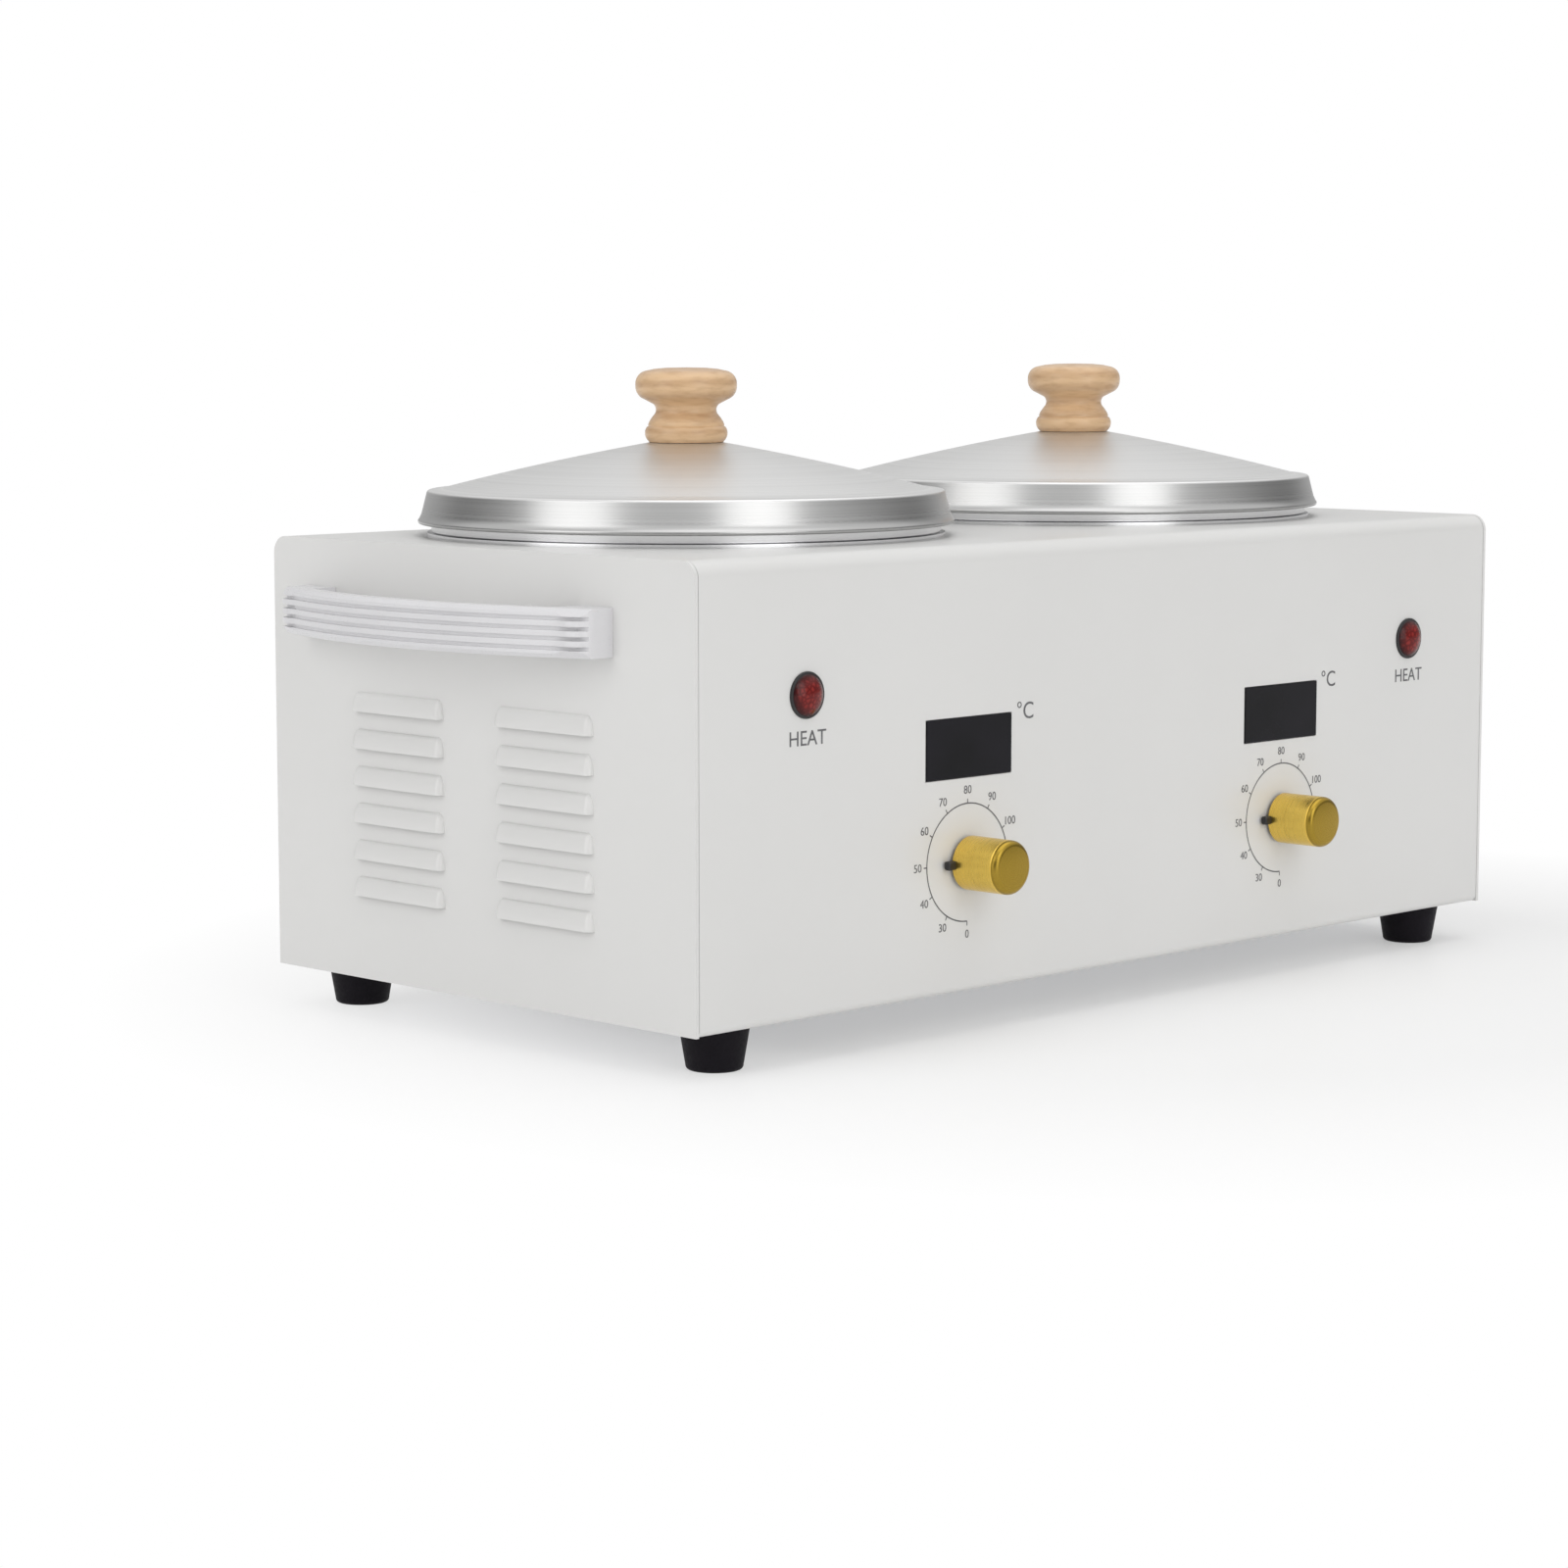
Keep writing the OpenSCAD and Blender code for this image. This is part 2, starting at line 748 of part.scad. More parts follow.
// A mica band clamped round the well: its two lugs are drawn together by a screw
module band_heater() {
    clamp_r = band_r + lug_len * clamp_share;
    half_gap = band_r * sin(band_split / 2);
    translate([0, 0, band_z]) {
        rotate(split_a + band_split / 2) rotate_extrude(angle = 360 - band_split)
            translate([band_r - band_t, 0]) square([band_t, band_h]);
        rotate(split_a) difference() {
            for (s = [-1, 1]) translate([band_r - band_t / 2,
                s < 0 ? -half_gap - lug_t : half_gap, (band_h - lug_h) / 2])
                cube([lug_len, lug_t, lug_h]);
            translate([clamp_r, 0, band_h / 2]) rotate([90, 0, 0])
                translate([0, 0, -band_r]) cylinder(h = 2 * band_r, r = m3[0] + bore_fit);
        }
        rotate(split_a) translate([clamp_r, half_gap + lug_t, band_h / 2]) rotate([90, 0, 0])
            screw_up(m3, 2 * (half_gap + lug_t) + clamp_over);
    }
}

module left_band_heater() { color(mica) on_side(-1) at_pot() band_heater(); }
module right_band_heater() { color(mica) on_side(1) at_pot() band_heater(); }

module insulation() {
    translate([0, 0, sleeve_z]) rotate(split_a + sleeve_split / 2)
        rotate_extrude(angle = 360 - sleeve_split)
            translate([sleeve_r - sleeve_t, 0]) square([sleeve_t, sleeve_h]);
}

module left_insulation() { color(wool) on_side(-1) at_pot() insulation(); }
module right_insulation() { color(wool) on_side(1) at_pot() insulation(); }

// A safety cut-out held against the well's underside in its ring
module thermal_cutout() {
    translate([0, cutout_back, well_low - cutout_h]) {
        cylinder(h = cutout_h, r = cutout_r);
        for (s = [-1, 1])
            translate([s * cutout_tab_x - cutout_tab_w / 2, -cutout_tab_t / 2, -cutout_tab_out])
                cube([cutout_tab_w, cutout_tab_t, cutout_tab_out + 1]);
    }
}

module left_thermal_cutout() { color(ceramic) on_side(-1) at_pot() thermal_cutout(); }
module right_thermal_cutout() { color(ceramic) on_side(1) at_pot() thermal_cutout(); }

// ---------- pots and lids ----------

module pot() {
    rotate_extrude() {
        cup_section(pot_r, pot_t, pot_low, pot_round_r, step_z + pot_t);
        translate([pot_r - pot_t, step_z]) square([collar_out + pot_t, pot_t]);
        translate([collar_r - pot_t, step_z]) square([pot_t, collar_h - pot_bead_r]);
        translate([collar_r - pot_t / 2, rim_z - pot_bead_r]) circle(pot_bead_r);
    }
}

module left_pot() { color(aluminium) on_side(-1) at_pot() pot(); }
module right_pot() { color(aluminium) on_side(1) at_pot() pot(); }

// A domed sheet with a flat shoulder, a flared skirt and a rolled lip
module lid() {
    lip_z = shoulder_z - skirt_h;
    difference() {
        rotate_extrude() {
            intersection() {
                translate([0, dome_c_z]) difference() {
                    circle(dome_r, $fn = 360);
                    circle(dome_r - lid_t, $fn = 360);
                }
                translate([0, rim_z]) square([dome_foot_r + 1, 2 * dome_h]);
            }
            translate([dome_foot_r - 2, rim_z])
                square([shoulder_w + 2 - corner_r, lid_t]);
            bend(shoulder_r - corner_r, shoulder_z - corner_r, corner_r, lid_t, 0);
            polygon([
                [lid_lip_r - lid_t, lip_z],
                [lid_lip_r, lip_z],
                [shoulder_r, shoulder_z - corner_r],
                [shoulder_r - lid_t, shoulder_z - corner_r]
            ]);
            translate([lid_lip_r - lid_t / 2, lip_z]) circle(lip_r);
        }
        translate([0, 0, rim_z]) cylinder(h = 2 * dome_h, r = lid_hole_r);
    }
}

module left_lid() { color(aluminium) on_side(-1) at_pot() lid(); }
module right_lid() { color(aluminium) on_side(1) at_pot() lid(); }

// Turned outline: a stepped foot, a hollow neck and a mushroom head
function wood_outline() =
    let (
        foot_r = wood_foot_r,
        neck_r = wood_neck_r,
        neck_z = wood_neck_z,
        head_z = wood_h - 5.2,
        cove = 3,
        cap_r = 3.6
    )
    concat(
        [[0, 0], [foot_r - 0.6, 0]],
        arc(foot_r - 1.8, 2, 1.8, -60, 60, 6),
        [[foot_r - 1.3, 4.6]],
        arc(neck_r + cove, neck_z, cove, 240, 120, 8),
        arc(wood_r - 4, head_z - 1.6, 4, -60, 0, 6),
        arc(wood_r - cap_r, head_z + 1, cap_r, 0, 70, 7),
        [[wood_r - 7.5, wood_h - 0.2], [0, wood_h]]
    );

module lid_knob() {
    difference() {
        translate([0, 0, dome_top_z - 0.4]) rotate_extrude() polygon(wood_outline());
        translate([0, 0, dome_c_z]) sphere(r = dome_r + seat_fit, $fn = 360);
        translate([0, 0, washer_z])
            cylinder(h = washer_t + lid_screw_len + 1, r = m4[0] + bore_fit);
    }
}

module left_lid_knob() { color(wood) on_side(-1) at_pot() lid_knob(); }
module right_lid_knob() { color(wood) on_side(1) at_pot() lid_knob(); }

module lid_screw() {
    translate([0, 0, washer_z]) screw_up(m4, lid_screw_len);
}

module left_lid_screw() { color(steel) on_side(-1) at_pot() lid_screw(); }
module right_lid_screw() { color(steel) on_side(1) at_pot() lid_screw(); }

module lid_washer() {
    translate([0, 0, washer_z]) difference() {
        cylinder(h = washer_t, r = washer_r);
        translate([0, 0, -1]) cylinder(h = washer_t + 2, r = lid_hole_r);
    }
}

module left_lid_washer() { color(steel) on_side(-1) at_pot() lid_washer(); }
module right_lid_washer() { color(steel) on_side(1) at_pot() lid_washer(); }

// ---------- dials ----------

// Both dials point to the left at rest, so they are placed and never mirrored
module at_dial(side) {
    in_frame() on_front(side * dial_x, dial_z) children();
}

module dial_cap() {
    difference() {
        translate([0, 0, dial_back]) rotate_extrude() polygon(concat(
            [[0, 0], [dial_r, 0]],
            arc(dial_r - dial_end_r, dial_len - dial_end_r, dial_end_r, 0, 90, 6),
            [[0, dial_len]]
        ));
        translate([0, 0, dial_back - 1]) cylinder(h = shaft_grip + 1, r = shaft_r + bore_fit);
    }
}

module left_dial_cap() { color(gold) at_dial(-1) dial_cap(); }
module right_dial_cap() { color(gold) at_dial(1) dial_cap(); }

// A black ring under the cap, with a rounded nub that points at the scale
module dial_pointer() {
    translate([0, 0, dial_gap]) difference() {
        union() {
            cylinder(h = pointer_t, r = dial_r - eps);
            translate([-dial_r - pointer_out + pointer_w / 2, -pointer_w / 2, 0])
                cube([dial_wall + pointer_out, pointer_w, pointer_t]);
            translate([-dial_r - pointer_out + pointer_w / 2, 0, 0])
                cylinder(h = pointer_t, r = pointer_w / 2);
        }
        translate([0, 0, -1]) cylinder(h = pointer_t + 2, r = ring_r);
    }
}

module left_dial_pointer() { color(black_plastic) at_dial(-1) dial_pointer(); }
module right_dial_pointer() { color(black_plastic) at_dial(1) dial_pointer(); }

module dial_shaft() {
    translate([0, 0, -sheet_t - shaft_in])
        cylinder(h = sheet_t + shaft_in + dial_back + shaft_grip - shaft_rest, r = shaft_r);
}

module left_dial_shaft() { color(steel) at_dial(-1) dial_shaft(); }
module right_dial_shaft() { color(steel) at_dial(1) dial_shaft(); }

// Thermostat: a case behind the panel, whose threaded bush comes through it
module thermostat() {
    translate([0, 0, -sheet_t]) difference() {
        union() {
            translate([-thermo_w / 2, -thermo_h / 2, -thermo_d])
                cube([thermo_w, thermo_h, thermo_d]);
            translate([0, 0, -1]) cylinder(h = sheet_t + bush_out + 1, r = bush_r);
            for (s = [-1, 1]) translate([s * thermo_tab_x - thermo_tab_w / 2,
                -thermo_h / 2 + thermo_tab_z, -thermo_d - thermo_tab_t])
                cube([thermo_tab_w, thermo_tab_w, 1]);
        }
        translate([0, 0, -shaft_in - shaft_rest])
            cylinder(h = shaft_in + sheet_t + bush_out + 2, r = shaft_r + bore_fit);
    }
}

module left_thermostat() { color(steel) at_dial(-1) thermostat(); }
module right_thermostat() { color(steel) at_dial(1) thermostat(); }

module thermostat_nut() {
    difference() {
        cylinder(h = hex_t, r = hex_r, $fn = 6);
        translate([0, 0, -1]) cylinder(h = hex_t + 2, r = bush_r + bore_fit);
    }
}

module left_thermostat_nut() { color(brass) at_dial(-1) thermostat_nut(); }
module right_thermostat_nut() { color(brass) at_dial(1) thermostat_nut(); }

// A capillary runs back from the thermostat to its bulb under the well
module sensor() {
    start = thermo_d - wall_y;
    translate([dial_x, 0, bulb_z]) rotate([-90, 0, 0]) union() {
        translate([0, 0, start]) cylinder(h = bulb_y - start + 1, r = capillary_r);
        translate([0, 0, bulb_y]) cylinder(h = bulb_len, r = bulb_r);
    }
}

module left_sensor() { color(copper) on_side(-1) sensor(); }
module right_sensor() { color(copper) on_side(1) sensor(); }

// ---------- displays and lamps ----------

module at_display(side) {
    in_frame() on_front(side * display_x, display_z) children();
}

// A smoked window that fills the cut-out and stands just proud of the panel
module display_lens() {
    translate([-display_w / 2, -display_h / 2, lens_proud - lens_t])
        cube([display_w, display_h, lens_t]);
}

module left_display_lens() { color(smoked) at_display(-1) display_lens(); }
module right_display_lens() { color(smoked) at_display(1) display_lens(); }

// The case behind the window, with a rim that bears on the panel's inner face
module display_case() {
    w = display_w + 2 * case_rim;
    h = display_h + 2 * case_rim;
    difference() {
        translate([-w / 2, -h / 2, -sheet_t - display_case_d]) cube([w, h, display_case_d]);
        translate([case_wall - display_w / 2, case_wall - display_h / 2, case_floor - display_case_d])
            cube([display_w - 2 * case_wall, display_h - 2 * case_wall, display_case_d]);
        translate([-display_w / 2 - cut_fit / 2, -display_h / 2 - cut_fit / 2, lens_proud - lens_t])
            cube([display_w + cut_fit, display_h + cut_fit, lens_t]);
    }
}

module left_display_case() { color(black_plastic) at_display(-1) display_case(); }
module right_display_case() { color(black_plastic) at_display(1) display_case(); }

module at_lamp(side) {
    in_frame() on_front(side * lamp_x, lamp_z) children();
}

// A barrel with a bezel in front, and a seat for the lens
module lamp_body() {
    difference() {
        union() {
            cylinder(h = lamp_bezel_t, r = lamp_bezel_r);
            translate([0, 0, -lamp_len]) cylinder(h = lamp_len + 1, r = lamp_r);
        }
        translate([0, 0, lamp_bezel_t - lens_seat])
            cylinder(h = lens_seat + 1, r = lamp_lens_r + bore_fit);
    }
}

module left_lamp_body() { color(black_plastic) at_lamp(-1) lamp_body(); }
module right_lamp_body() { color(black_plastic) at_lamp(1) lamp_body(); }

// A domed red lens on a short plug
module lamp_lens() {
    cap_r = (lamp_lens_r * lamp_lens_r + lens_h * lens_h) / (2 * lens_h);
    low = lamp_bezel_t - lens_seat;
    rotate_extrude() intersection() {
        union() {
            translate([0, lamp_bezel_t + lens_h - cap_r]) circle(cap_r);
            square([lamp_lens_r, lamp_bezel_t]);
        }
        translate([0, low]) square([lamp_lens_r, lens_seat + lens_h + 1]);
    }
}

module left_lamp_lens() { color(red_lens) at_lamp(-1) lamp_lens(); }
module right_lamp_lens() { color(red_lens) at_lamp(1) lamp_lens(); }

module lamp_nuts() {
    color(black_plastic) for (side = [-1, 1]) at_lamp(side)
        translate([0, 0, -sheet_t - lamp_nut_t]) difference() {
            cylinder(h = lamp_nut_t, r = lamp_nut_r, $fn = 6);
            translate([0, 0, -1]) cylinder(h = lamp_nut_t + 2, r = lamp_r + bore_fit);
        }
}

// ---------- power inlet ----------

// Children point out of the back; their +X is the housing's -X
module at_inlet() {
    in_frame() on_back(inlet_x, inlet_z) children();
}

module inlet_housing() {
    color(black_plastic) at_inlet() difference() {
        union() {
            translate([-flange_l / 2, -flange_h / 2, 0]) cube([flange_l, flange_h, flange_t]);
            translate([-inlet_w / 2, -inlet_h / 2, flange_t - inlet_d])
                cube([inlet_w, inlet_h, inlet_d - 1]);
        }
        translate([-socket_w / 2, -socket_h / 2, flange_t - socket_d])
            cube([socket_w, socket_h, socket_d + 1]);
        for (p = pins)
            translate([p[0] - pin_w / 2 - bore_fit, p[1] - pin_h / 2 - bore_fit, -inlet_d])
                cube([pin_w + 2 * bore_fit, pin_h + 2 * bore_fit, inlet_d]);
        for (s = [-1, 1]) translate([s * inlet_screw_x, 0, 0]) {
            translate([0, 0, -1]) cylinder(h = flange_t + 2, r = m3[0] + bore_fit);
            translate([0, 0, flange_t - m3[2]])
                cylinder(h = m3[2] + eps, r1 = m3[0] + bore_fit, r2 = m3[1] + bore_fit);
        }
    }
}

module inlet_pins() {
    color(brass) at_inlet() for (p = pins)
        translate([p[0] - pin_w / 2, p[1] - pin_h / 2, flange_t - inlet_d - tab_len])
            cube([pin_w, pin_h, inlet_d + tab_len - pin_short]);
}

module inlet_screws() {
    color(steel) at_inlet() for (s = [-1, 1]) translate([s * inlet_screw_x, 0, 0]) union() {
        translate([0, 0, flange_t - m3[2]]) cylinder(h = m3[2], r1 = m3[0], r2 = m3[1]);
        translate([0, 0, -inlet_screw_len])
            cylinder(h = inlet_screw_len + flange_t - m3[2] + eps, r = m3[0]);
    }
}

// ---------- terminal block and wiring ----------

module block_screw_places() {
    for (s = [-1, 1])
        translate([block_x, block_y + s * (block_l / 2 - block_screw_in), 0]) children();
}

module way_places() {
    for (i = [-1 : 1]) translate([block_x, block_y + i * way_pitch, floor_z]) children();
}

module terminal_block() {
    color(ceramic) in_frame() difference() {
        translate([block_x - block_w / 2, block_y - block_l / 2, floor_z])
            cube([block_w, block_l, block_h]);
        way_places() for (s = [-1, 1])
            translate([s * way_screw_x, 0, block_h - way_screw_d - screw_rest])
                cylinder(h = way_screw_d + screw_rest + 1, r = m3[0] + bore_fit);
        block_screw_places() cylinder(h = floor_z + block_h + 1, r = m3[0] + bore_fit);
    }
}

module terminal_screws() {
    color(brass) in_frame() {
        way_places() for (s = [-1, 1]) translate([s * way_screw_x, 0, block_h - way_screw_d])
            cylinder(h = way_screw_len, r = m3[0]);
        block_screw_places() translate([0, 0, floor_z + block_h]) rotate([180, 0, 0])
            screw_up(m3, block_h + floor_z - screw_rest);
    }
}

// The direction from point a to point b
function heading(a, b) = (b - a) / norm(b - a);

// A ring of points slid along direction d onto the plane through p that faces n
function slid(ring, d, p, n) = [for (v = ring) v + d * ((p - v) * n) / (d * n)];

// A list of points with a bend in place of each sharp turn
function eased(points) = [
    points[0],
    for (i = [1 : len(points) - 2])
        let (
            p = points[i],
            back = points[i - 1] - p,
            ahead = points[i + 1] - p,
            reach = min(wire_bend, bend_share * norm(back), bend_share * norm(ahead)),
            a = back / norm(back),
            b = ahead / norm(ahead)
        )
        each [p + reach * a, p + bend_depth * reach * (a + b), p + reach * b],
    points[len(points) - 1]
];

// A round wire along a list of points, whose flat ends just touch what they reach
module wire(points) {
    path = eased(points);
    last = len(path) - 1;
    ways = [for (i = [0 : last - 1]) heading(path[i], path[i + 1])];
    side_way = abs(ways[0].z) < 0.9 ? [0, 0, 1] : [1, 0, 0];
    u = heading([0, 0, 0], cross(ways[0], side_way));
    v = cross(ways[0], u);
    turn = 360 / wire_sides;
    from = path[0] + touch * ways[0];
    to = path[last] - touch * ways[last - 1];
    start = [for (k = [0 : wire_sides - 1]) from + wire_r * (cos(k * turn) * u + sin(k * turn) * v)];
    rings = [
        for (
            i = 0, ring = start;
            i <= last;
            i = i + 1,
            ring = i == last ? slid(ring, ways[last - 1], to, ways[last - 1])
                : i < last ? slid(ring, ways[i - 1], path[i], ways[i - 1] + ways[i])
                : ring
        )
            each ring
    ];
    sides = [for (i = [0 : last - 1]) for (k = [0 : wire_sides - 1])
        let (next = (k + 1) % wire_sides, here = i * wire_sides, there = here + wire_sides)
        [here + k, there + k, there + next, here + next]];
    front_end = [for (k = [0 : wire_sides - 1]) k];
    back_end = [for (k = [1 : wire_sides]) (last + 1) * wire_sides - k];
    polyhedron(points = rings, faces = concat([front_end], sides, [back_end]));
}

module wiring() {
    tab_y = body_d / 2 + flange_t - inlet_d - tab_len;
    bend_y = tab_y - wire_lead;
    right = block_x + block_w / 2;
    left = block_x - block_w / 2;
    row = [for (i = [-1 : 1]) block_y + i * way_pitch];
    low_pin = inlet_z - pin_drop;
    lug_low = band_z + (band_h - lug_h) / 2;
    lug_mid = band_r + lug_len * clamp_share - 1;
    lug_side = band_r * sin(band_split / 2) + lug_t / 2;
    lug_a = [pot_x + lug_mid * cos(split_a) + lug_side * sin(split_a),
             pot_y + lug_mid * sin(split_a) - lug_side * cos(split_a)];
    lug_b = [pot_x + lug_mid * cos(split_a) - lug_side * sin(split_a),
             pot_y + lug_mid * sin(split_a) + lug_side * cos(split_a)];
    thermo_y = -wall_y + thermo_d;
    feed_x = dial_x - thermo_tab_x;
    feed_z = dial_z - thermo_h / 2 + thermo_tab_z - wire_r - 2 * touch;
    feed_turn = left - 10;
    case_y = 10 - wall_y;
    lamp_y = -body_d / 2 + lamp_len;
    color(wire_colour) {
        in_frame() {
            wire([[inlet_x - pin_x, tab_y, low_pin], [inlet_x - pin_x, bend_y, low_pin],
                [inlet_x - pin_x, row[2], wire_z], [right, row[2], wire_z]]);
            wire([[inlet_x + pin_x, tab_y, low_pin], [inlet_x + pin_x, bend_y, low_pin],
                [inlet_x + pin_x, row[1], wire_z], [right, row[1], wire_z]]);
            wire([[inlet_x, tab_y, inlet_z + pin_up], [inlet_x, row[0], inlet_z + pin_up],
                [inlet_x, row[0], wire_z], [right, row[0], wire_z]]);
            wire([[left, row[0], wire_z], [feed_turn, row[0], wire_z],
                [feed_turn, thermo_y + 19, wire_z],
                [feed_x, thermo_y + 9, feed_z], [feed_x, thermo_y, feed_z]]);
            wire([[left, row[1], wire_z], [left - wire_lead, row[1], wire_z],
                [left - 2 * wire_lead, row[1], under_z], [-feed_x, row[1], under_z],
                [-feed_x, thermo_y + 10, under_z], [-feed_x, thermo_y + 5, feed_z],
                [-feed_x, thermo_y, feed_z]]);
            for (side = [-1, 1])
                wire([[left, row[2] - side * pair_gap, wire_z],
                    [side * trunk_x, row[2] - side * pair_gap, wire_z],
                    [side * trunk_x, lug_b[1] + 10, wire_z],
                    [side * trunk_x, lug_b[1] + 10, lug_low - 12],
                    [side * lug_b[0], lug_b[1], lug_low - 6],
                    [side * lug_b[0], lug_b[1], lug_low]]);
        }
        for (side = [-1, 1]) on_side(side) {
            wire([[dial_x - thermo_w / 2, case_y, dial_z + 6],
                [lug_a[0] + 8, case_y, dial_z + 6], [lug_a[0], lug_a[1], lug_low - 8],
                [lug_a[0], lug_a[1], lug_low]]);
            wire([[dial_x + thermo_w / 2, case_y, dial_z - 6],
                [lamp_x, case_y, dial_z - 6], [lamp_x, lamp_y + 5, dial_z - 2],
                [lamp_x, lamp_y + 5, lamp_z], [lamp_x, lamp_y, lamp_z]]);
        }
    }
}

// ---------- nodes ----------

housing_shell();
left_side_panel();
right_side_panel();
base_plate();
base_screws();
front_left_foot();
front_right_foot();
rear_left_foot();
rear_right_foot();
foot_screws();
foot_nuts();
left_handle();
right_handle();
handle_screws();
left_heating_well();
right_heating_well();
left_band_heater();
right_band_heater();
left_insulation();
right_insulation();
left_thermal_cutout();
right_thermal_cutout();
left_pot();
right_pot();
left_lid();
right_lid();
left_lid_knob();
right_lid_knob();
left_lid_screw();
right_lid_screw();
left_lid_washer();
right_lid_washer();
left_dial_cap();
right_dial_cap();
left_dial_pointer();
right_dial_pointer();
left_dial_shaft();
right_dial_shaft();
left_thermostat();
right_thermostat();
left_thermostat_nut();
right_thermostat_nut();
left_sensor();
right_sensor();
left_display_lens();
right_display_lens();
left_display_case();
right_display_case();
left_lamp_lens();
right_lamp_lens();
left_lamp_body();
right_lamp_body();
lamp_nuts();
inlet_housing();
inlet_pins();
inlet_screws();
terminal_block();
terminal_screws();
wiring();
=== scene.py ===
"""Looks of the twin wax warmer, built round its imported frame. Lengths are metres."""

import json
import math

import bpy
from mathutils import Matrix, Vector

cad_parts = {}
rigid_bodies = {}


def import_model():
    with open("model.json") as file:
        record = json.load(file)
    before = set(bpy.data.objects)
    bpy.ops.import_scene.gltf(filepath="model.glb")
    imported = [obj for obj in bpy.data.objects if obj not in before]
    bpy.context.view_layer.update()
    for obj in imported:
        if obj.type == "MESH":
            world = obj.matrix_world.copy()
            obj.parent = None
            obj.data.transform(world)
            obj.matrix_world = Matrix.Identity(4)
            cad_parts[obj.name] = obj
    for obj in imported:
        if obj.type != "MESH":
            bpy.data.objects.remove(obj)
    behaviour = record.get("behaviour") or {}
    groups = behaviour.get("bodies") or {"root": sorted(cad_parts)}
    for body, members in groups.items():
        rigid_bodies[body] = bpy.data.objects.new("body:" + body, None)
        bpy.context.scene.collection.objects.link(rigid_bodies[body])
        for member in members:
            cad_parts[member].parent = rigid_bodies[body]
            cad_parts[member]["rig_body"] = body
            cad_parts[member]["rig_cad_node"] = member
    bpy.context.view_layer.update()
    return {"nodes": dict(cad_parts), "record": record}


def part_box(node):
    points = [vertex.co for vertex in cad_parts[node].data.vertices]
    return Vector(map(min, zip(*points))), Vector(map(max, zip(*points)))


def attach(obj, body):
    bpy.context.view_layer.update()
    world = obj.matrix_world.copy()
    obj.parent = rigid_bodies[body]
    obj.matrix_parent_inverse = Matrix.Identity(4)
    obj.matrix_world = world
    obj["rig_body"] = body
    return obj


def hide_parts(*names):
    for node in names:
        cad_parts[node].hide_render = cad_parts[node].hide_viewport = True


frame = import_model()
NODES = frame["nodes"]
MM = 0.001
SIDES = (("left", -1), ("right", 1))

# ---------- places, read from the frame ----------

SHELL_LOW, SHELL_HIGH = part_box("housing_shell")
FRONT_Y = SHELL_LOW.y
BODY_Y = (SHELL_LOW.y + SHELL_HIGH.y) / 2
LID_LOW, LID_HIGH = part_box("right_lid")
LID_X = (LID_LOW.x + LID_HIGH.x) / 2
LID_Y = (LID_LOW.y + LID_HIGH.y) / 2

# ---------- sizes that a shape shares with a finish or with another shape ----------

LIP_ROLL = 0.75 * MM
SKIRT_RISE = 9.0 * MM
SHOULDER_Z = LID_LOW.z + LIP_ROLL + SKIRT_RISE
CAP_ROUND = 1.9 * MM
RING_R = 6.9 * MM


def middle(node):
    low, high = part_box(node)
    return (low + high) / 2


# ---------- shared shader groups ----------


def new_group(name, inputs, outputs):
    group = bpy.data.node_groups.new(name, "ShaderNodeTree")
    for label, kind, value in inputs:
        socket = group.interface.new_socket(label, in_out="INPUT", socket_type=kind)
        if value is not None:
            socket.default_value = value
    for label, kind in outputs:
        group.interface.new_socket(label, in_out="OUTPUT", socket_type=kind)
    return group, group.nodes.new("NodeGroupInput"), group.nodes.new("NodeGroupOutput")


def add(tree, kind, **settings):
    node = tree.nodes.new(kind)
    for key, value in settings.items():
        setattr(node, key, value)
    return node


def join(tree, source, target):
    tree.links.new(source, target)


def math_node(tree, operation, first, second=None):
    node = add(tree, "ShaderNodeMath", operation=operation)
    for socket, value in zip(node.inputs, (first, second)):
        if isinstance(value, (int, float)):
            socket.default_value = value
        elif value is not None:
            join(tree, value, socket)
    return node.outputs[0]


def make_surface_grain():
    """Fine grain: a mask round 0.5, and a normal bumped by it."""
    group, start, end = new_group(
        "surface_grain",
        [
            ("Vector", "NodeSocketVector", None),
            ("Scale", "NodeSocketFloat", 800.0),
            ("Strength", "NodeSocketFloat", 0.1),
            ("Depth", "NodeSocketFloat", 0.0002),
        ],
        [("Mask", "NodeSocketFloat"), ("Normal", "NodeSocketVector")],
    )
    noise = add(group, "ShaderNodeTexNoise")
    noise.inputs["Detail"].default_value = 3.0
    join(group, start.outputs["Vector"], noise.inputs["Vector"])
    join(group, start.outputs["Scale"], noise.inputs["Scale"])
    bump = add(group, "ShaderNodeBump")
    join(group, noise.outputs["Fac"], bump.inputs["Height"])
    join(group, start.outputs["Strength"], bump.inputs["Strength"])
    join(group, start.outputs["Depth"], bump.inputs["Distance"])
    join(group, noise.outputs["Fac"], end.inputs["Mask"])
    join(group, bump.outputs["Normal"], end.inputs["Normal"])
    return group


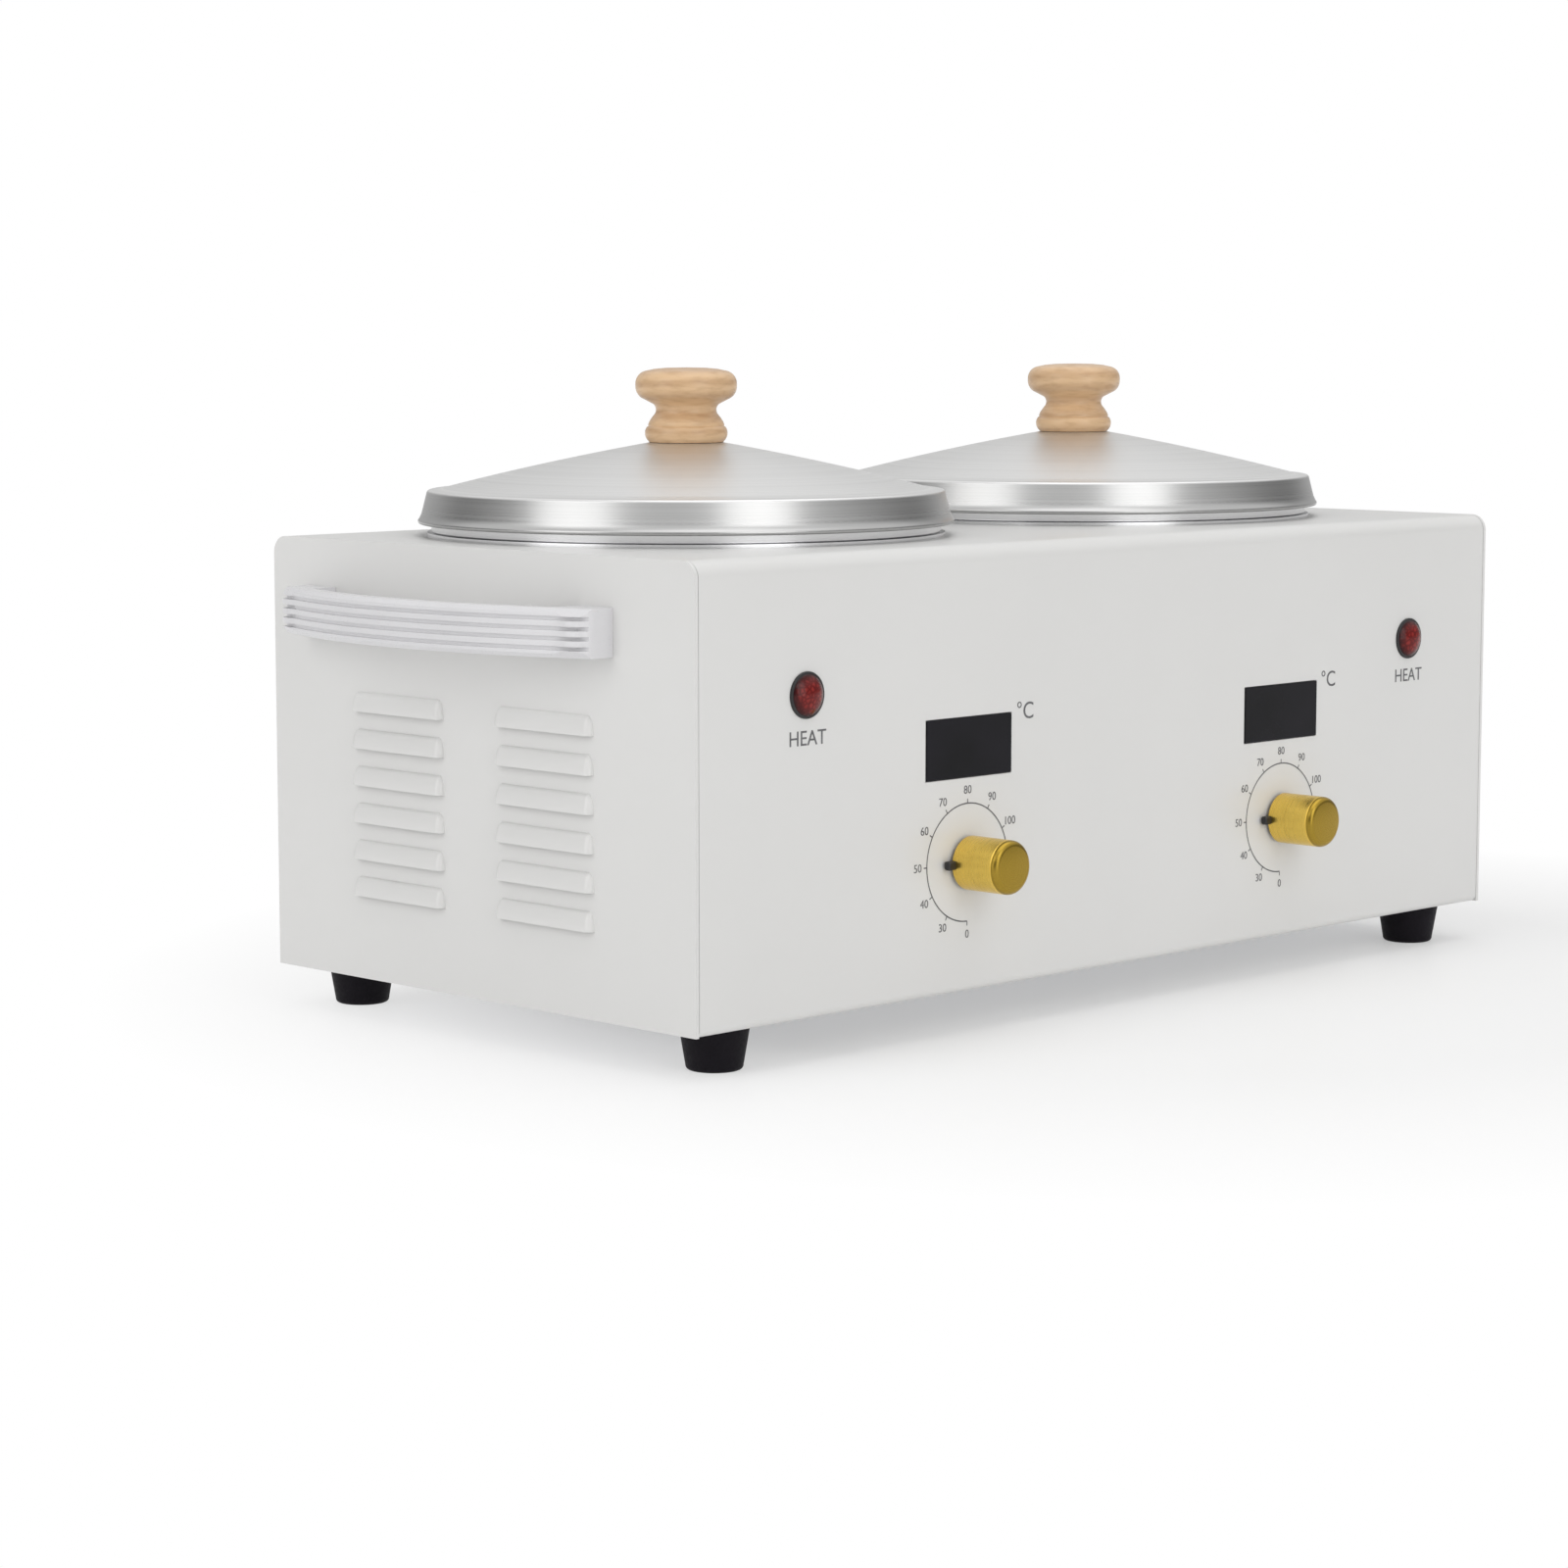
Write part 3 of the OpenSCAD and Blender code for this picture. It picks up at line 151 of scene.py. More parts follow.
def make_tone_drift():
    """Slow drift of a colour between two tones, as paint and cast parts show."""
    group, start, end = new_group(
        "tone_drift",
        [
            ("Vector", "NodeSocketVector", None),
            ("Scale", "NodeSocketFloat", 12.0),
            ("Low Tone", "NodeSocketColor", (0.5, 0.5, 0.5, 1)),
            ("High Tone", "NodeSocketColor", (0.6, 0.6, 0.6, 1)),
        ],
        [("Color", "NodeSocketColor"), ("Mask", "NodeSocketFloat")],
    )
    noise = add(group, "ShaderNodeTexNoise")
    noise.inputs["Detail"].default_value = 4.0
    join(group, start.outputs["Vector"], noise.inputs["Vector"])
    join(group, start.outputs["Scale"], noise.inputs["Scale"])
    ramp = add(group, "ShaderNodeMapRange")
    ramp.inputs["From Min"].default_value = 0.3
    ramp.inputs["From Max"].default_value = 0.7
    join(group, noise.outputs["Fac"], ramp.inputs["Value"])
    mix = add(group, "ShaderNodeMix", data_type="RGBA")
    join(group, ramp.outputs["Result"], mix.inputs["Factor"])
    join(group, start.outputs["Low Tone"], mix.inputs["A"])
    join(group, start.outputs["High Tone"], mix.inputs["B"])
    join(group, mix.outputs["Result"], end.inputs["Color"])
    join(group, ramp.outputs["Result"], end.inputs["Mask"])
    return group


def make_turned_rings():
    """Rings left by a lathe or a spinning brush, round an upright axis at the origin of Vector."""
    group, start, end = new_group(
        "turned_rings",
        [
            ("Vector", "NodeSocketVector", None),
            ("Ring Scale", "NodeSocketFloat", 900.0),
            ("Strength", "NodeSocketFloat", 0.2),
            ("Depth", "NodeSocketFloat", 0.0001),
        ],
        [("Mask", "NodeSocketFloat"), ("Normal", "NodeSocketVector")],
    )
    parts = add(group, "ShaderNodeSeparateXYZ")
    join(group, start.outputs["Vector"], parts.inputs[0])
    square_x = math_node(group, "MULTIPLY", parts.outputs["X"], parts.outputs["X"])
    square_y = math_node(group, "MULTIPLY", parts.outputs["Y"], parts.outputs["Y"])
    radius = math_node(group, "SQRT", math_node(group, "ADD", square_x, square_y))
    along = math_node(group, "MULTIPLY", radius, start.outputs["Ring Scale"])
    up = math_node(group, "MULTIPLY", parts.outputs["Z"], start.outputs["Ring Scale"])
    place = add(group, "ShaderNodeCombineXYZ")
    join(group, along, place.inputs["X"])
    join(group, up, place.inputs["Z"])
    noise = add(group, "ShaderNodeTexNoise")
    noise.inputs["Scale"].default_value = 1.0
    noise.inputs["Detail"].default_value = 5.0
    noise.inputs["Roughness"].default_value = 0.7
    join(group, place.outputs[0], noise.inputs["Vector"])
    bump = add(group, "ShaderNodeBump")
    join(group, noise.outputs["Fac"], bump.inputs["Height"])
    join(group, start.outputs["Strength"], bump.inputs["Strength"])
    join(group, start.outputs["Depth"], bump.inputs["Distance"])
    join(group, noise.outputs["Fac"], end.inputs["Mask"])
    join(group, bump.outputs["Normal"], end.inputs["Normal"])
    return group


GRAIN = make_surface_grain()
DRIFT = make_tone_drift()
RINGS = make_turned_rings()


def use_group(tree, group, vector, **values):
    node = add(tree, "ShaderNodeGroup", node_tree=group)
    join(tree, vector, node.inputs["Vector"])
    for label, value in values.items():
        node.inputs[label.replace("_", " ")].default_value = value
    return node


def spread(tree, value, low, high, reach=(0.3, 0.7)):
    """Maps a value from the range reach to the range low to high, and holds it there."""
    node = add(tree, "ShaderNodeMapRange")
    join(tree, value, node.inputs["Value"])
    node.inputs["From Min"].default_value = reach[0]
    node.inputs["From Max"].default_value = reach[1]
    node.inputs["To Min"].default_value = low
    node.inputs["To Max"].default_value = high
    return node.outputs["Result"]


# ---------- materials ----------


def tone(r, g, b):
    return (r, g, b, 1.0)


def new_material(name, **sockets):
    """A Principled material; constants go straight on the shader's own sockets."""
    mat = bpy.data.materials.new(name)
    mat.use_nodes = True
    tree = mat.node_tree
    shader = tree.nodes["Principled BSDF"]
    for label, value in sockets.items():
        shader.inputs[label.replace("_", " ")].default_value = value
    coords = add(tree, "ShaderNodeTexCoord").outputs["Object"]
    return mat, tree, shader, coords


def blend_tones(tree, factor, low, high):
    """A colour that goes from the tone low to the tone high as factor goes from 0 to 1."""
    mix = add(tree, "ShaderNodeMix", data_type="RGBA")
    mix.inputs["A"].default_value = low
    mix.inputs["B"].default_value = high
    join(tree, factor, mix.inputs["Factor"])
    return mix.outputs["Result"]


def lay_over(tree, factor, colour, layer, blend_type="MIX"):
    """A colour with a second tone laid over it, more so as factor goes from 0 to 1."""
    mix = add(tree, "ShaderNodeMix", data_type="RGBA", blend_type=blend_type)
    mix.inputs["B"].default_value = layer
    join(tree, factor, mix.inputs["Factor"])
    join(tree, colour, mix.inputs["A"])
    return mix.outputs["Result"]


def raised(tree, height, strength, depth):
    """A normal bumped by a height."""
    bump = add(tree, "ShaderNodeBump")
    bump.inputs["Strength"].default_value = strength
    bump.inputs["Distance"].default_value = depth
    join(tree, height, bump.inputs["Height"])
    return bump.outputs["Normal"]


def plain_finish(name, low, high, drift_scale, grain, rough, **sockets):
    """A finish that drifts between two tones.

    grain is the fine grain's (scale, strength, depth), and rough is the range of its roughness."""
    mat, tree, shader, coords = new_material(name, **sockets)
    drift = use_group(tree, DRIFT, coords, Scale=drift_scale, Low_Tone=low, High_Tone=high)
    join(tree, drift.outputs["Color"], shader.inputs["Base Color"])
    scale, strength, depth = grain
    fine = use_group(tree, GRAIN, coords, Scale=scale, Strength=strength, Depth=depth)
    join(tree, fine.outputs["Normal"], shader.inputs["Normal"])
    join(tree, spread(tree, fine.outputs["Mask"], *rough), shader.inputs["Roughness"])
    return mat


def both_sides(tree, coords, x, y):
    """Coordinates centred on the upright axes at +x and -x alike."""
    parts = add(tree, "ShaderNodeSeparateXYZ")
    join(tree, coords, parts.inputs[0])
    place = add(tree, "ShaderNodeCombineXYZ")
    side_x = math_node(tree, "SUBTRACT", math_node(tree, "ABSOLUTE", parts.outputs["X"]), x)
    join(tree, side_x, place.inputs["X"])
    join(tree, math_node(tree, "SUBTRACT", parts.outputs["Y"], y), place.inputs["Y"])
    join(tree, parts.outputs["Z"], place.inputs["Z"])
    return place.outputs[0]


def spun_metal(name, low, high, ring_scale, strength, rough, skirt=None):
    """Aluminium spun or brushed in rings round the pots' axes.

    skirt is (height, polish, shade): below that height the metal is smoother, and painted shading darkens
    its colour by the factor shade."""
    mat, tree, shader, coords = new_material(name, Metallic=1.0)
    centred = both_sides(tree, coords, LID_X, LID_Y)
    rings = use_group(tree, RINGS, centred, Ring_Scale=ring_scale, Strength=strength, Depth=0.1 * MM)
    join(tree, rings.outputs["Normal"], shader.inputs["Normal"])
    roughness = spread(tree, rings.outputs["Mask"], *rough)
    colour = blend_tones(tree, spread(tree, rings.outputs["Mask"], 0.0, 1.0), low, high)
    if skirt:
        height, polish, shade = skirt
        bend = (height - 0.8 * MM, height)
        parts = add(tree, "ShaderNodeSeparateXYZ")
        join(tree, coords, parts.inputs[0])
        smoother = spread(tree, parts.outputs["Z"], polish, 1.0, bend)
        roughness = math_node(tree, "MULTIPLY", roughness, smoother)
        # Painted shading: below the shoulder the skirt's colour is darkened by shade.
        below = spread(tree, parts.outputs["Z"], 1.0, 0.0, bend)
        colour = lay_over(tree, below, colour, tone(shade, shade, shade), "MULTIPLY")
    join(tree, roughness, shader.inputs["Roughness"])
    join(tree, colour, shader.inputs["Base Color"])
    return mat


def turned_wood():
    """Light hardwood: grain lying across the knob, with fine pores and a clear lacquer."""
    mat, tree, shader, coords = new_material(
        "turned_wood", Coat_Weight=0.45, Coat_Roughness=0.20, Specular_IOR_Level=0.4
    )
    grain_share = 0.5
    pore_share = 0.5
    stretch = add(tree, "ShaderNodeMapping")
    stretch.inputs["Scale"].default_value = (0.22, 0.22, 1.0)
    stretch.inputs["Rotation"].default_value = (math.radians(7), math.radians(-5), 0)
    join(tree, coords, stretch.inputs["Vector"])
    wave = add(tree, "ShaderNodeTexWave", wave_type="BANDS", bands_direction="Z")
    wave.inputs["Scale"].default_value = 70.0
    wave.inputs["Distortion"].default_value = 5.0
    wave.inputs["Detail"].default_value = 3.0
    wave.inputs["Detail Scale"].default_value = 1.5
    join(tree, stretch.outputs[0], wave.inputs["Vector"])
    pores = add(tree, "ShaderNodeTexNoise")
    pores.inputs["Scale"].default_value = 900.0
    pores.inputs["Detail"].default_value = 4.0
    join(tree, stretch.outputs[0], pores.inputs["Vector"])
    flecks = spread(tree, pores.outputs["Fac"], 0.0, 1.0, (0.45, 0.75))
    grain = math_node(tree, "MULTIPLY", wave.outputs["Fac"], grain_share)
    flecks = math_node(tree, "MULTIPLY", flecks, pore_share)
    darkness = math_node(tree, "ADD", grain, flecks)
    colour = blend_tones(tree, darkness, tone(0.72, 0.485, 0.275), tone(0.50, 0.30, 0.155))
    join(tree, colour, shader.inputs["Base Color"])
    join(tree, spread(tree, pores.outputs["Fac"], 0.38, 0.55), shader.inputs["Roughness"])
    join(tree, raised(tree, pores.outputs["Fac"], 0.15, 0.2 * MM), shader.inputs["Normal"])
    return mat


def gold_metal():
    """Gold anodised dial caps, brushed round their own axis, which runs along Y, with painted shading that
    darkens their rounded end.
    """
    mat, tree, shader, coords = new_material("gold_metal", Metallic=1.0)
    cap_low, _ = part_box("right_dial_cap")
    dial = middle("right_dial_cap")
    drop = add(tree, "ShaderNodeVectorMath", operation="SUBTRACT")
    drop.inputs[1].default_value = (0, 0, dial.z)
    join(tree, both_sides(tree, coords, dial.x, 0.0), drop.inputs[0])
    turn = add(tree, "ShaderNodeMapping")
    turn.inputs["Rotation"].default_value = (math.radians(90), 0, 0)
    join(tree, drop.outputs[0], turn.inputs["Vector"])
    rings = use_group(tree, RINGS, turn.outputs[0], Ring_Scale=2600.0, Strength=0.12, Depth=0.05 * MM)
    join(tree, rings.outputs["Normal"], shader.inputs["Normal"])
    join(tree, spread(tree, rings.outputs["Mask"], 0.22, 0.36), shader.inputs["Roughness"])
    colour = blend_tones(tree, rings.outputs["Mask"], tone(0.76, 0.49, 0.08), tone(0.94, 0.70, 0.17))
    parts = add(tree, "ShaderNodeSeparateXYZ")
    join(tree, coords, parts.inputs[0])
    # Painted shading: the cap's rounded end, from its tip to where the rounding starts, is darkened to an
    # olive tone.
    round_start = cap_low.y + CAP_ROUND
    end = spread(tree, parts.outputs["Y"], 1.0, 0.0, (round_start - 0.1 * MM, round_start))
    join(tree, lay_over(tree, end, colour, tone(0.36, 0.24, 0.036)), shader.inputs["Base Color"])
    return mat


def red_lens():
    """Clear red plastic with fine moulded facets behind its dome, with painted shading that darkens it
    towards its rim.
    """
    mat, tree, shader, coords = new_material(
        "red_lens", Coat_Weight=0.15, Coat_Roughness=0.05, Roughness=0.22, Specular_IOR_Level=0.15
    )
    rim_shading_reach = (3.6 * MM, 5.9 * MM)
    cells = add(tree, "ShaderNodeTexVoronoi", feature="DISTANCE_TO_EDGE")
    cells.inputs["Scale"].default_value = 700.0
    join(tree, coords, cells.inputs["Vector"])
    facets = spread(tree, cells.outputs["Distance"], 0.0, 1.0, (0.0, 0.35))
    colour = blend_tones(tree, facets, tone(0.11, 0.008, 0.008), tone(0.27, 0.026, 0.022))
    lamp = middle("right_lamp_lens")
    drop = add(tree, "ShaderNodeVectorMath", operation="MULTIPLY_ADD")
    drop.inputs[1].default_value = (1, 0, 1)
    drop.inputs[2].default_value = (0, 0, -lamp.z)
    join(tree, both_sides(tree, coords, lamp.x, 0.0), drop.inputs[0])
    from_axis = add(tree, "ShaderNodeVectorMath", operation="LENGTH")
    join(tree, drop.outputs[0], from_axis.inputs[0])
    # Painted shading: the lens turns near black towards its rim, away from its axis.
    rim = spread(tree, from_axis.outputs["Value"], 0.0, 1.0, rim_shading_reach)
    join(tree, lay_over(tree, rim, colour, tone(0.018, 0.003, 0.004)), shader.inputs["Base Color"])
    join(tree, raised(tree, cells.outputs["Distance"], 0.2, 0.2 * MM), shader.inputs["Normal"])
    return mat


PRINT_INK = plain_finish(
    "print_ink", low=tone(0.10, 0.10, 0.105), high=tone(0.17, 0.17, 0.175), drift_scale=500.0,
    grain=(2500.0, 0.05, 0.1 * MM), rough=(0.5, 0.6),
)
PLAIN_FINISHES = {
    "white_paint": dict(
        low=tone(0.715, 0.712, 0.70), high=tone(0.74, 0.737, 0.725), drift_scale=9.0,
        grain=(1500.0, 0.10, 0.1 * MM), rough=(0.32, 0.42), Specular_IOR_Level=0.5, Coat_Weight=0.08,
    ),
    "white_plastic": dict(
        low=tone(0.68, 0.675, 0.69), high=tone(0.71, 0.705, 0.72), drift_scale=30.0,
        grain=(2200.0, 0.08, 0.1 * MM), rough=(0.26, 0.36),
    ),
    "foot_rubber": dict(
        low=tone(0.004, 0.003, 0.005), high=tone(0.008, 0.006, 0.010), drift_scale=60.0,
        grain=(1400.0, 0.25, 0.2 * MM), rough=(0.50, 0.68), Specular_IOR_Level=0.14,
    ),
    "zinc_steel": dict(
        low=tone(0.50, 0.51, 0.53), high=tone(0.64, 0.65, 0.67), drift_scale=160.0,
        grain=(700.0, 0.12, 0.1 * MM), rough=(0.28, 0.44), Metallic=1.0,
    ),
    "black_plastic": dict(
        low=tone(0.010, 0.010, 0.011), high=tone(0.018, 0.018, 0.020), drift_scale=80.0,
        grain=(1800.0, 0.18, 0.1 * MM), rough=(0.38, 0.52),
    ),
    "smoked_window": dict(
        low=tone(0.005, 0.005, 0.006), high=tone(0.010, 0.009, 0.013), drift_scale=40.0,
        grain=(300.0, 0.01, 0.1 * MM), rough=(0.12, 0.18), Specular_IOR_Level=0.12,
    ),
    "mica": dict(
        low=tone(0.33, 0.28, 0.20), high=tone(0.50, 0.44, 0.34), drift_scale=220.0,
        grain=(900.0, 0.2, 0.2 * MM), rough=(0.35, 0.55),
    ),
    "ceramic_wool": dict(
        low=tone(0.70, 0.67, 0.60), high=tone(0.82, 0.79, 0.72), drift_scale=120.0,
        grain=(420.0, 0.8, 1.2 * MM), rough=(0.85, 0.98), Sheen_Weight=0.3,
    ),
    "ceramic": dict(
        low=tone(0.68, 0.66, 0.60), high=tone(0.76, 0.74, 0.68), drift_scale=90.0,
        grain=(1200.0, 0.15, 0.1 * MM), rough=(0.45, 0.60),
    ),
    "brass": dict(
        low=tone(0.55, 0.40, 0.14), high=tone(0.66, 0.49, 0.19), drift_scale=200.0,
        grain=(1100.0, 0.12, 0.1 * MM), rough=(0.25, 0.40), Metallic=1.0,
    ),
    "copper": dict(
        low=tone(0.52, 0.25, 0.13), high=tone(0.62, 0.32, 0.18), drift_scale=200.0,
        grain=(1100.0, 0.10, 0.1 * MM), rough=(0.25, 0.42), Metallic=1.0,
    ),
    "wire_insulation": dict(
        low=tone(0.28, 0.035, 0.03), high=tone(0.36, 0.05, 0.04), drift_scale=80.0,
        grain=(1500.0, 0.1, 0.1 * MM), rough=(0.35, 0.5),
    ),
}
MATERIALS = {name: plain_finish(name, **values) for name, values in PLAIN_FINISHES.items()}
MATERIALS["spun_aluminium"] = spun_metal(
    "spun_aluminium", low=tone(0.74, 0.74, 0.75), high=tone(0.86, 0.86, 0.87),
    ring_scale=1400.0, strength=0.10, rough=(0.16, 0.30),
)
MATERIALS["brushed_aluminium"] = spun_metal(
    "brushed_aluminium", low=tone(0.63, 0.63, 0.625), high=tone(0.76, 0.76, 0.755),
    ring_scale=1800.0, strength=0.16, rough=(0.34, 0.46), skirt=(SHOULDER_Z, 0.74, 0.66),
)
MATERIALS["turned_wood"] = turned_wood()
MATERIALS["gold_metal"] = gold_metal()
MATERIALS["red_lens"] = red_lens()
SLOT_OF = {part["node"]: part["material_slot"] for part in frame["record"]["subparts"]}


def coat(obj, material):
    obj.data.materials.clear()
    obj.data.materials.append(material)


for node_name, node_object in NODES.items():
    coat(node_object, MATERIALS[SLOT_OF[node_name]])

# ---------- modelling helpers ----------


def only(obj):
    bpy.ops.object.select_all(action="DESELECT")
    obj.select_set(True)
    bpy.context.view_layer.objects.active = obj


def settle(obj):
    """Puts the object's place, turn and scale into its mesh."""
    only(obj)
    bpy.ops.object.transform_apply(location=True, rotation=True, scale=True)


def smooth(sharp):
    """Smooths the active piece, but for edges sharper than that many degrees."""
    bpy.ops.object.shade_smooth_by_angle(angle=math.radians(sharp))


def round_edges(piece, width, segments, sharp):
    """Rounds the active piece's edges that are sharper than that many degrees."""
    ease = piece.modifiers.new("eased_edges", "BEVEL")
    ease.width = width
    ease.segments = segments
    ease.limit_method = "ANGLE"
    ease.angle_limit = math.radians(sharp)
    bpy.ops.object.modifier_apply(modifier=ease.name)


def finish_piece(obj, name, body, slot, replaced):
    obj.name = name
    obj.data.name = name
    coat(obj, MATERIALS[slot])
    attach(obj, body)
    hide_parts(replaced)


def arc(middle_r, middle_z, radius, start, end, steps):
    """Points of an arc from angle start to end, in degrees, counted from outwards towards up."""
    turns = [math.radians(start + (end - start) * i / steps) for i in range(steps + 1)]
    return [(middle_r + radius * math.cos(a), middle_z + radius * math.sin(a)) for a in turns]


def single_point(place):
    """A new mesh with one vertex, left in edit mode."""
    bpy.ops.object.select_all(action="DESELECT")
    bpy.ops.mesh.primitive_plane_add(size=MM)
    piece = bpy.context.object
    bpy.ops.object.mode_set(mode="EDIT")
    bpy.ops.mesh.select_all(action="SELECT")
    bpy.ops.mesh.merge(type="CENTER")
    bpy.ops.transform.translate(value=place)
    return piece


def turned(outline, place, steps, sharp, turn=(0, 0, 0)):
    """Spins an outline of (radius, height) points round an axis, as a lathe does."""
    piece = single_point((outline[0][0], 0, outline[0][1]))
    for (r0, z0), (r1, z1) in zip(outline, outline[1:]):
        bpy.ops.mesh.extrude_region_move(TRANSFORM_OT_translate={"value": (r1 - r0, 0, z1 - z0)})
    bpy.ops.mesh.select_all(action="SELECT")
    bpy.ops.mesh.spin(steps=steps, angle=math.tau, center=(0, 0, 0), axis=(0, 0, 1))
    bpy.ops.mesh.select_all(action="SELECT")
    bpy.ops.mesh.remove_doubles(threshold=0.001 * MM)
    bpy.ops.mesh.normals_make_consistent(inside=False)
    bpy.ops.object.mode_set(mode="OBJECT")
    piece.rotation_euler = turn
    piece.location = place
    settle(piece)
    smooth(sharp)
    return piece


def dressed(node, edge=0.0, segments=2):
    """Puts a copy of a CAD node in its place: faces joined, edges eased, curves smooth."""
    sharp = 32
    flat = math.radians(0.6)
    only(NODES[node])
    bpy.ops.object.duplicate()
    piece = bpy.context.object
    piece.parent = None
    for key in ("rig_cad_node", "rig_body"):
        if key in piece:
            del piece[key]
    bpy.ops.object.mode_set(mode="EDIT")
    bpy.ops.mesh.select_all(action="SELECT")
    bpy.ops.mesh.remove_doubles(threshold=0.002 * MM)
    bpy.ops.mesh.dissolve_limited(angle_limit=flat)
    bpy.ops.object.mode_set(mode="OBJECT")
    if edge:
        round_edges(piece, edge, segments, sharp)
    smooth(sharp)
    level = piece.modifiers.new("flat_faces", "WEIGHTED_NORMAL")
    level.mode = "FACE_AREA"
    level.weight = 90
    level.keep_sharp = True
    bpy.ops.object.modifier_apply(modifier=level.name)
    finish_piece(piece, node + "_finish", "root", SLOT_OF[node], node)


# ---------- housing, panels, feet and handles ----------

dressed("housing_shell", edge=0.12 * MM)
for side, _ in SIDES:
    dressed(side + "_side_panel", edge=0.35 * MM)
    dressed(side + "_handle", edge=0.5 * MM)
    for end in ("front", "rear"):
        dressed(f"{end}_{side}_foot", edge=0.3 * MM)
dressed("base_plate")
dressed("inlet_housing", edge=0.25 * MM)

# ---------- lids, knobs and pots ----------


def lid_outline():
    """Closed section of a lid: coned sheet with a flat seat, shoulder, flared skirt, rolled lip."""
    sheet = 1.0 * MM
    cone_rise = 14.3 * MM
    bow = 0.18
    seat_r, seat_bend_r = 11.5 * MM, 6.9 * MM
    seat_slope, seat_fall = 0.12 * MM, 0.45 * MM
    corner = 1.0 * MM
    corner_lift = 0.1 * MM
    cone_gap = 2.6 * MM
    flare = 1.9 * MM
    hem_in, hem_up = 0.35 * MM, 2.2 * MM
    lip_mid = LID_HIGH.x - LID_X - LIP_ROLL
    lip_z = LID_LOW.z + LIP_ROLL
    shoulder_r = lip_mid - flare
    rim_r = shoulder_r - cone_gap
    top_z = SHOULDER_Z + cone_rise

    def cone(drop):
        """Top of the sheet from its middle out, slightly bowed, lowered by drop."""
        count = 14
        points = [(0, top_z - drop), (seat_bend_r, top_z - seat_slope - drop)]
        for i in range(count + 1):
            t = i / count
            fall = seat_fall + (cone_rise - seat_fall) * ((1 - bow) * t + bow * t * t)
            points.append((seat_r + (rim_r - seat_r) * t, top_z - fall - drop))
        return points

    outline = cone(0)
    outline += arc(shoulder_r - corner, SHOULDER_Z - corner + corner_lift, corner, 88, 15, 6)
    outline += [(lip_mid - hem_in, lip_z + hem_up)]
    outline += arc(lip_mid, lip_z, LIP_ROLL, 60, -180, 10)
    outline += [(shoulder_r - sheet, SHOULDER_Z - corner)]
    return outline + cone(sheet)[::-1]


def wood_outline():
    """Turned knob from its foot up: bulged foot, groove, waist and mushroom head."""
    low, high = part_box("right_lid_knob")
    head = (high.x - low.x) / 2
    foot, foot_round = 12.3 * MM, 3.2 * MM
    foot_hollow, foot_edge = 0.9 * MM, 1.2 * MM
    waist, waist_round = 9.0 * MM, 2.2 * MM
    brim_round, crown_round = 4.1 * MM, 3.9 * MM

    def down(depth):
        """Height at a depth in millimetres below the knob's top."""
        return high.z - depth * MM

    def at(r, depth):
        return (r * MM, down(depth))

    points = [(0, low.z + foot_hollow), (foot - foot_edge, low.z + 0.05 * MM)]
    points += arc(foot - foot_round, down(19.4), foot_round, -48, 34, 8)
    points += [at(11.25, 17.3), at(11.35, 16.9), at(11.0, 16.0), at(10.3, 14.9)]
    points += arc(waist + waist_round, down(12.5), waist_round, 212, 128, 8)
    points += arc(head - brim_round, down(5.6), brim_round, -56, 0, 8)
    points += arc(head - crown_round, down(4.8), crown_round, 4, 76, 9)
    return points + [at(9.5, 0.45), at(6.0, 0.13), (0, high.z)]


def pot_outline():
    """Closed section of a pot: rounded bottom, wall, resting step, collar and rolled bead."""
    low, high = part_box("right_pot")
    sheet = 1.2 * MM
    depth = 80 * MM
    bead = 0.9 * MM
    step_wide = 6.2 * MM
    bottom_round = 6.0 * MM
    collar_round = 0.5 * MM
    bend_out, bend_down = 0.3 * MM, 0.6 * MM
    fold_in, fold_down = 0.4 * MM, 0.8 * MM
    collar = (high.x - low.x) / 2 - bead + sheet / 2
    wall = collar - step_wide
    step = low.z + depth
    floor_z = step + sheet
    turn_r, turn_z = wall - bottom_round, low.z + bottom_round
    points = [(0, low.z)]
    points += arc(turn_r, turn_z, bottom_round, -90, 0, 8)
    points += [(wall, step - bend_down), (wall + bend_out, step), (collar - collar_round, step)]
    points += arc(collar - collar_round, step + collar_round, collar_round, -60, 0, 3)
    points += arc(collar - sheet / 2, high.z - bead, bead, -40, 220, 12)
    points += [(collar - sheet, floor_z), (wall - sheet + fold_in, floor_z)]
    points += [(wall - sheet, floor_z - fold_down)]
    points += arc(turn_r, turn_z, bottom_round - sheet, 0, -90, 8)
    return points + [(0, low.z + sheet)]


for side, sign in SIDES:
    axis_place = (sign * LID_X, LID_Y, 0)
    lid = turned(lid_outline(), axis_place, steps=160, sharp=40)
    finish_piece(lid, side + "_lid_finish", side + "_lid", "brushed_aluminium", side + "_lid")
    knob = turned(wood_outline(), axis_place, steps=80, sharp=50)
    finish_piece(knob, side + "_wood_knob", side + "_lid", "turned_wood", side + "_lid_knob")
    pot = turned(pot_outline(), axis_place, steps=160, sharp=40)
    finish_piece(pot, side + "_pot_finish", side + "_pot", "spun_aluminium", side + "_pot")

# ---------- dials, lamps and displays ----------

FACE_OUT = (math.radians(90), 0, 0)


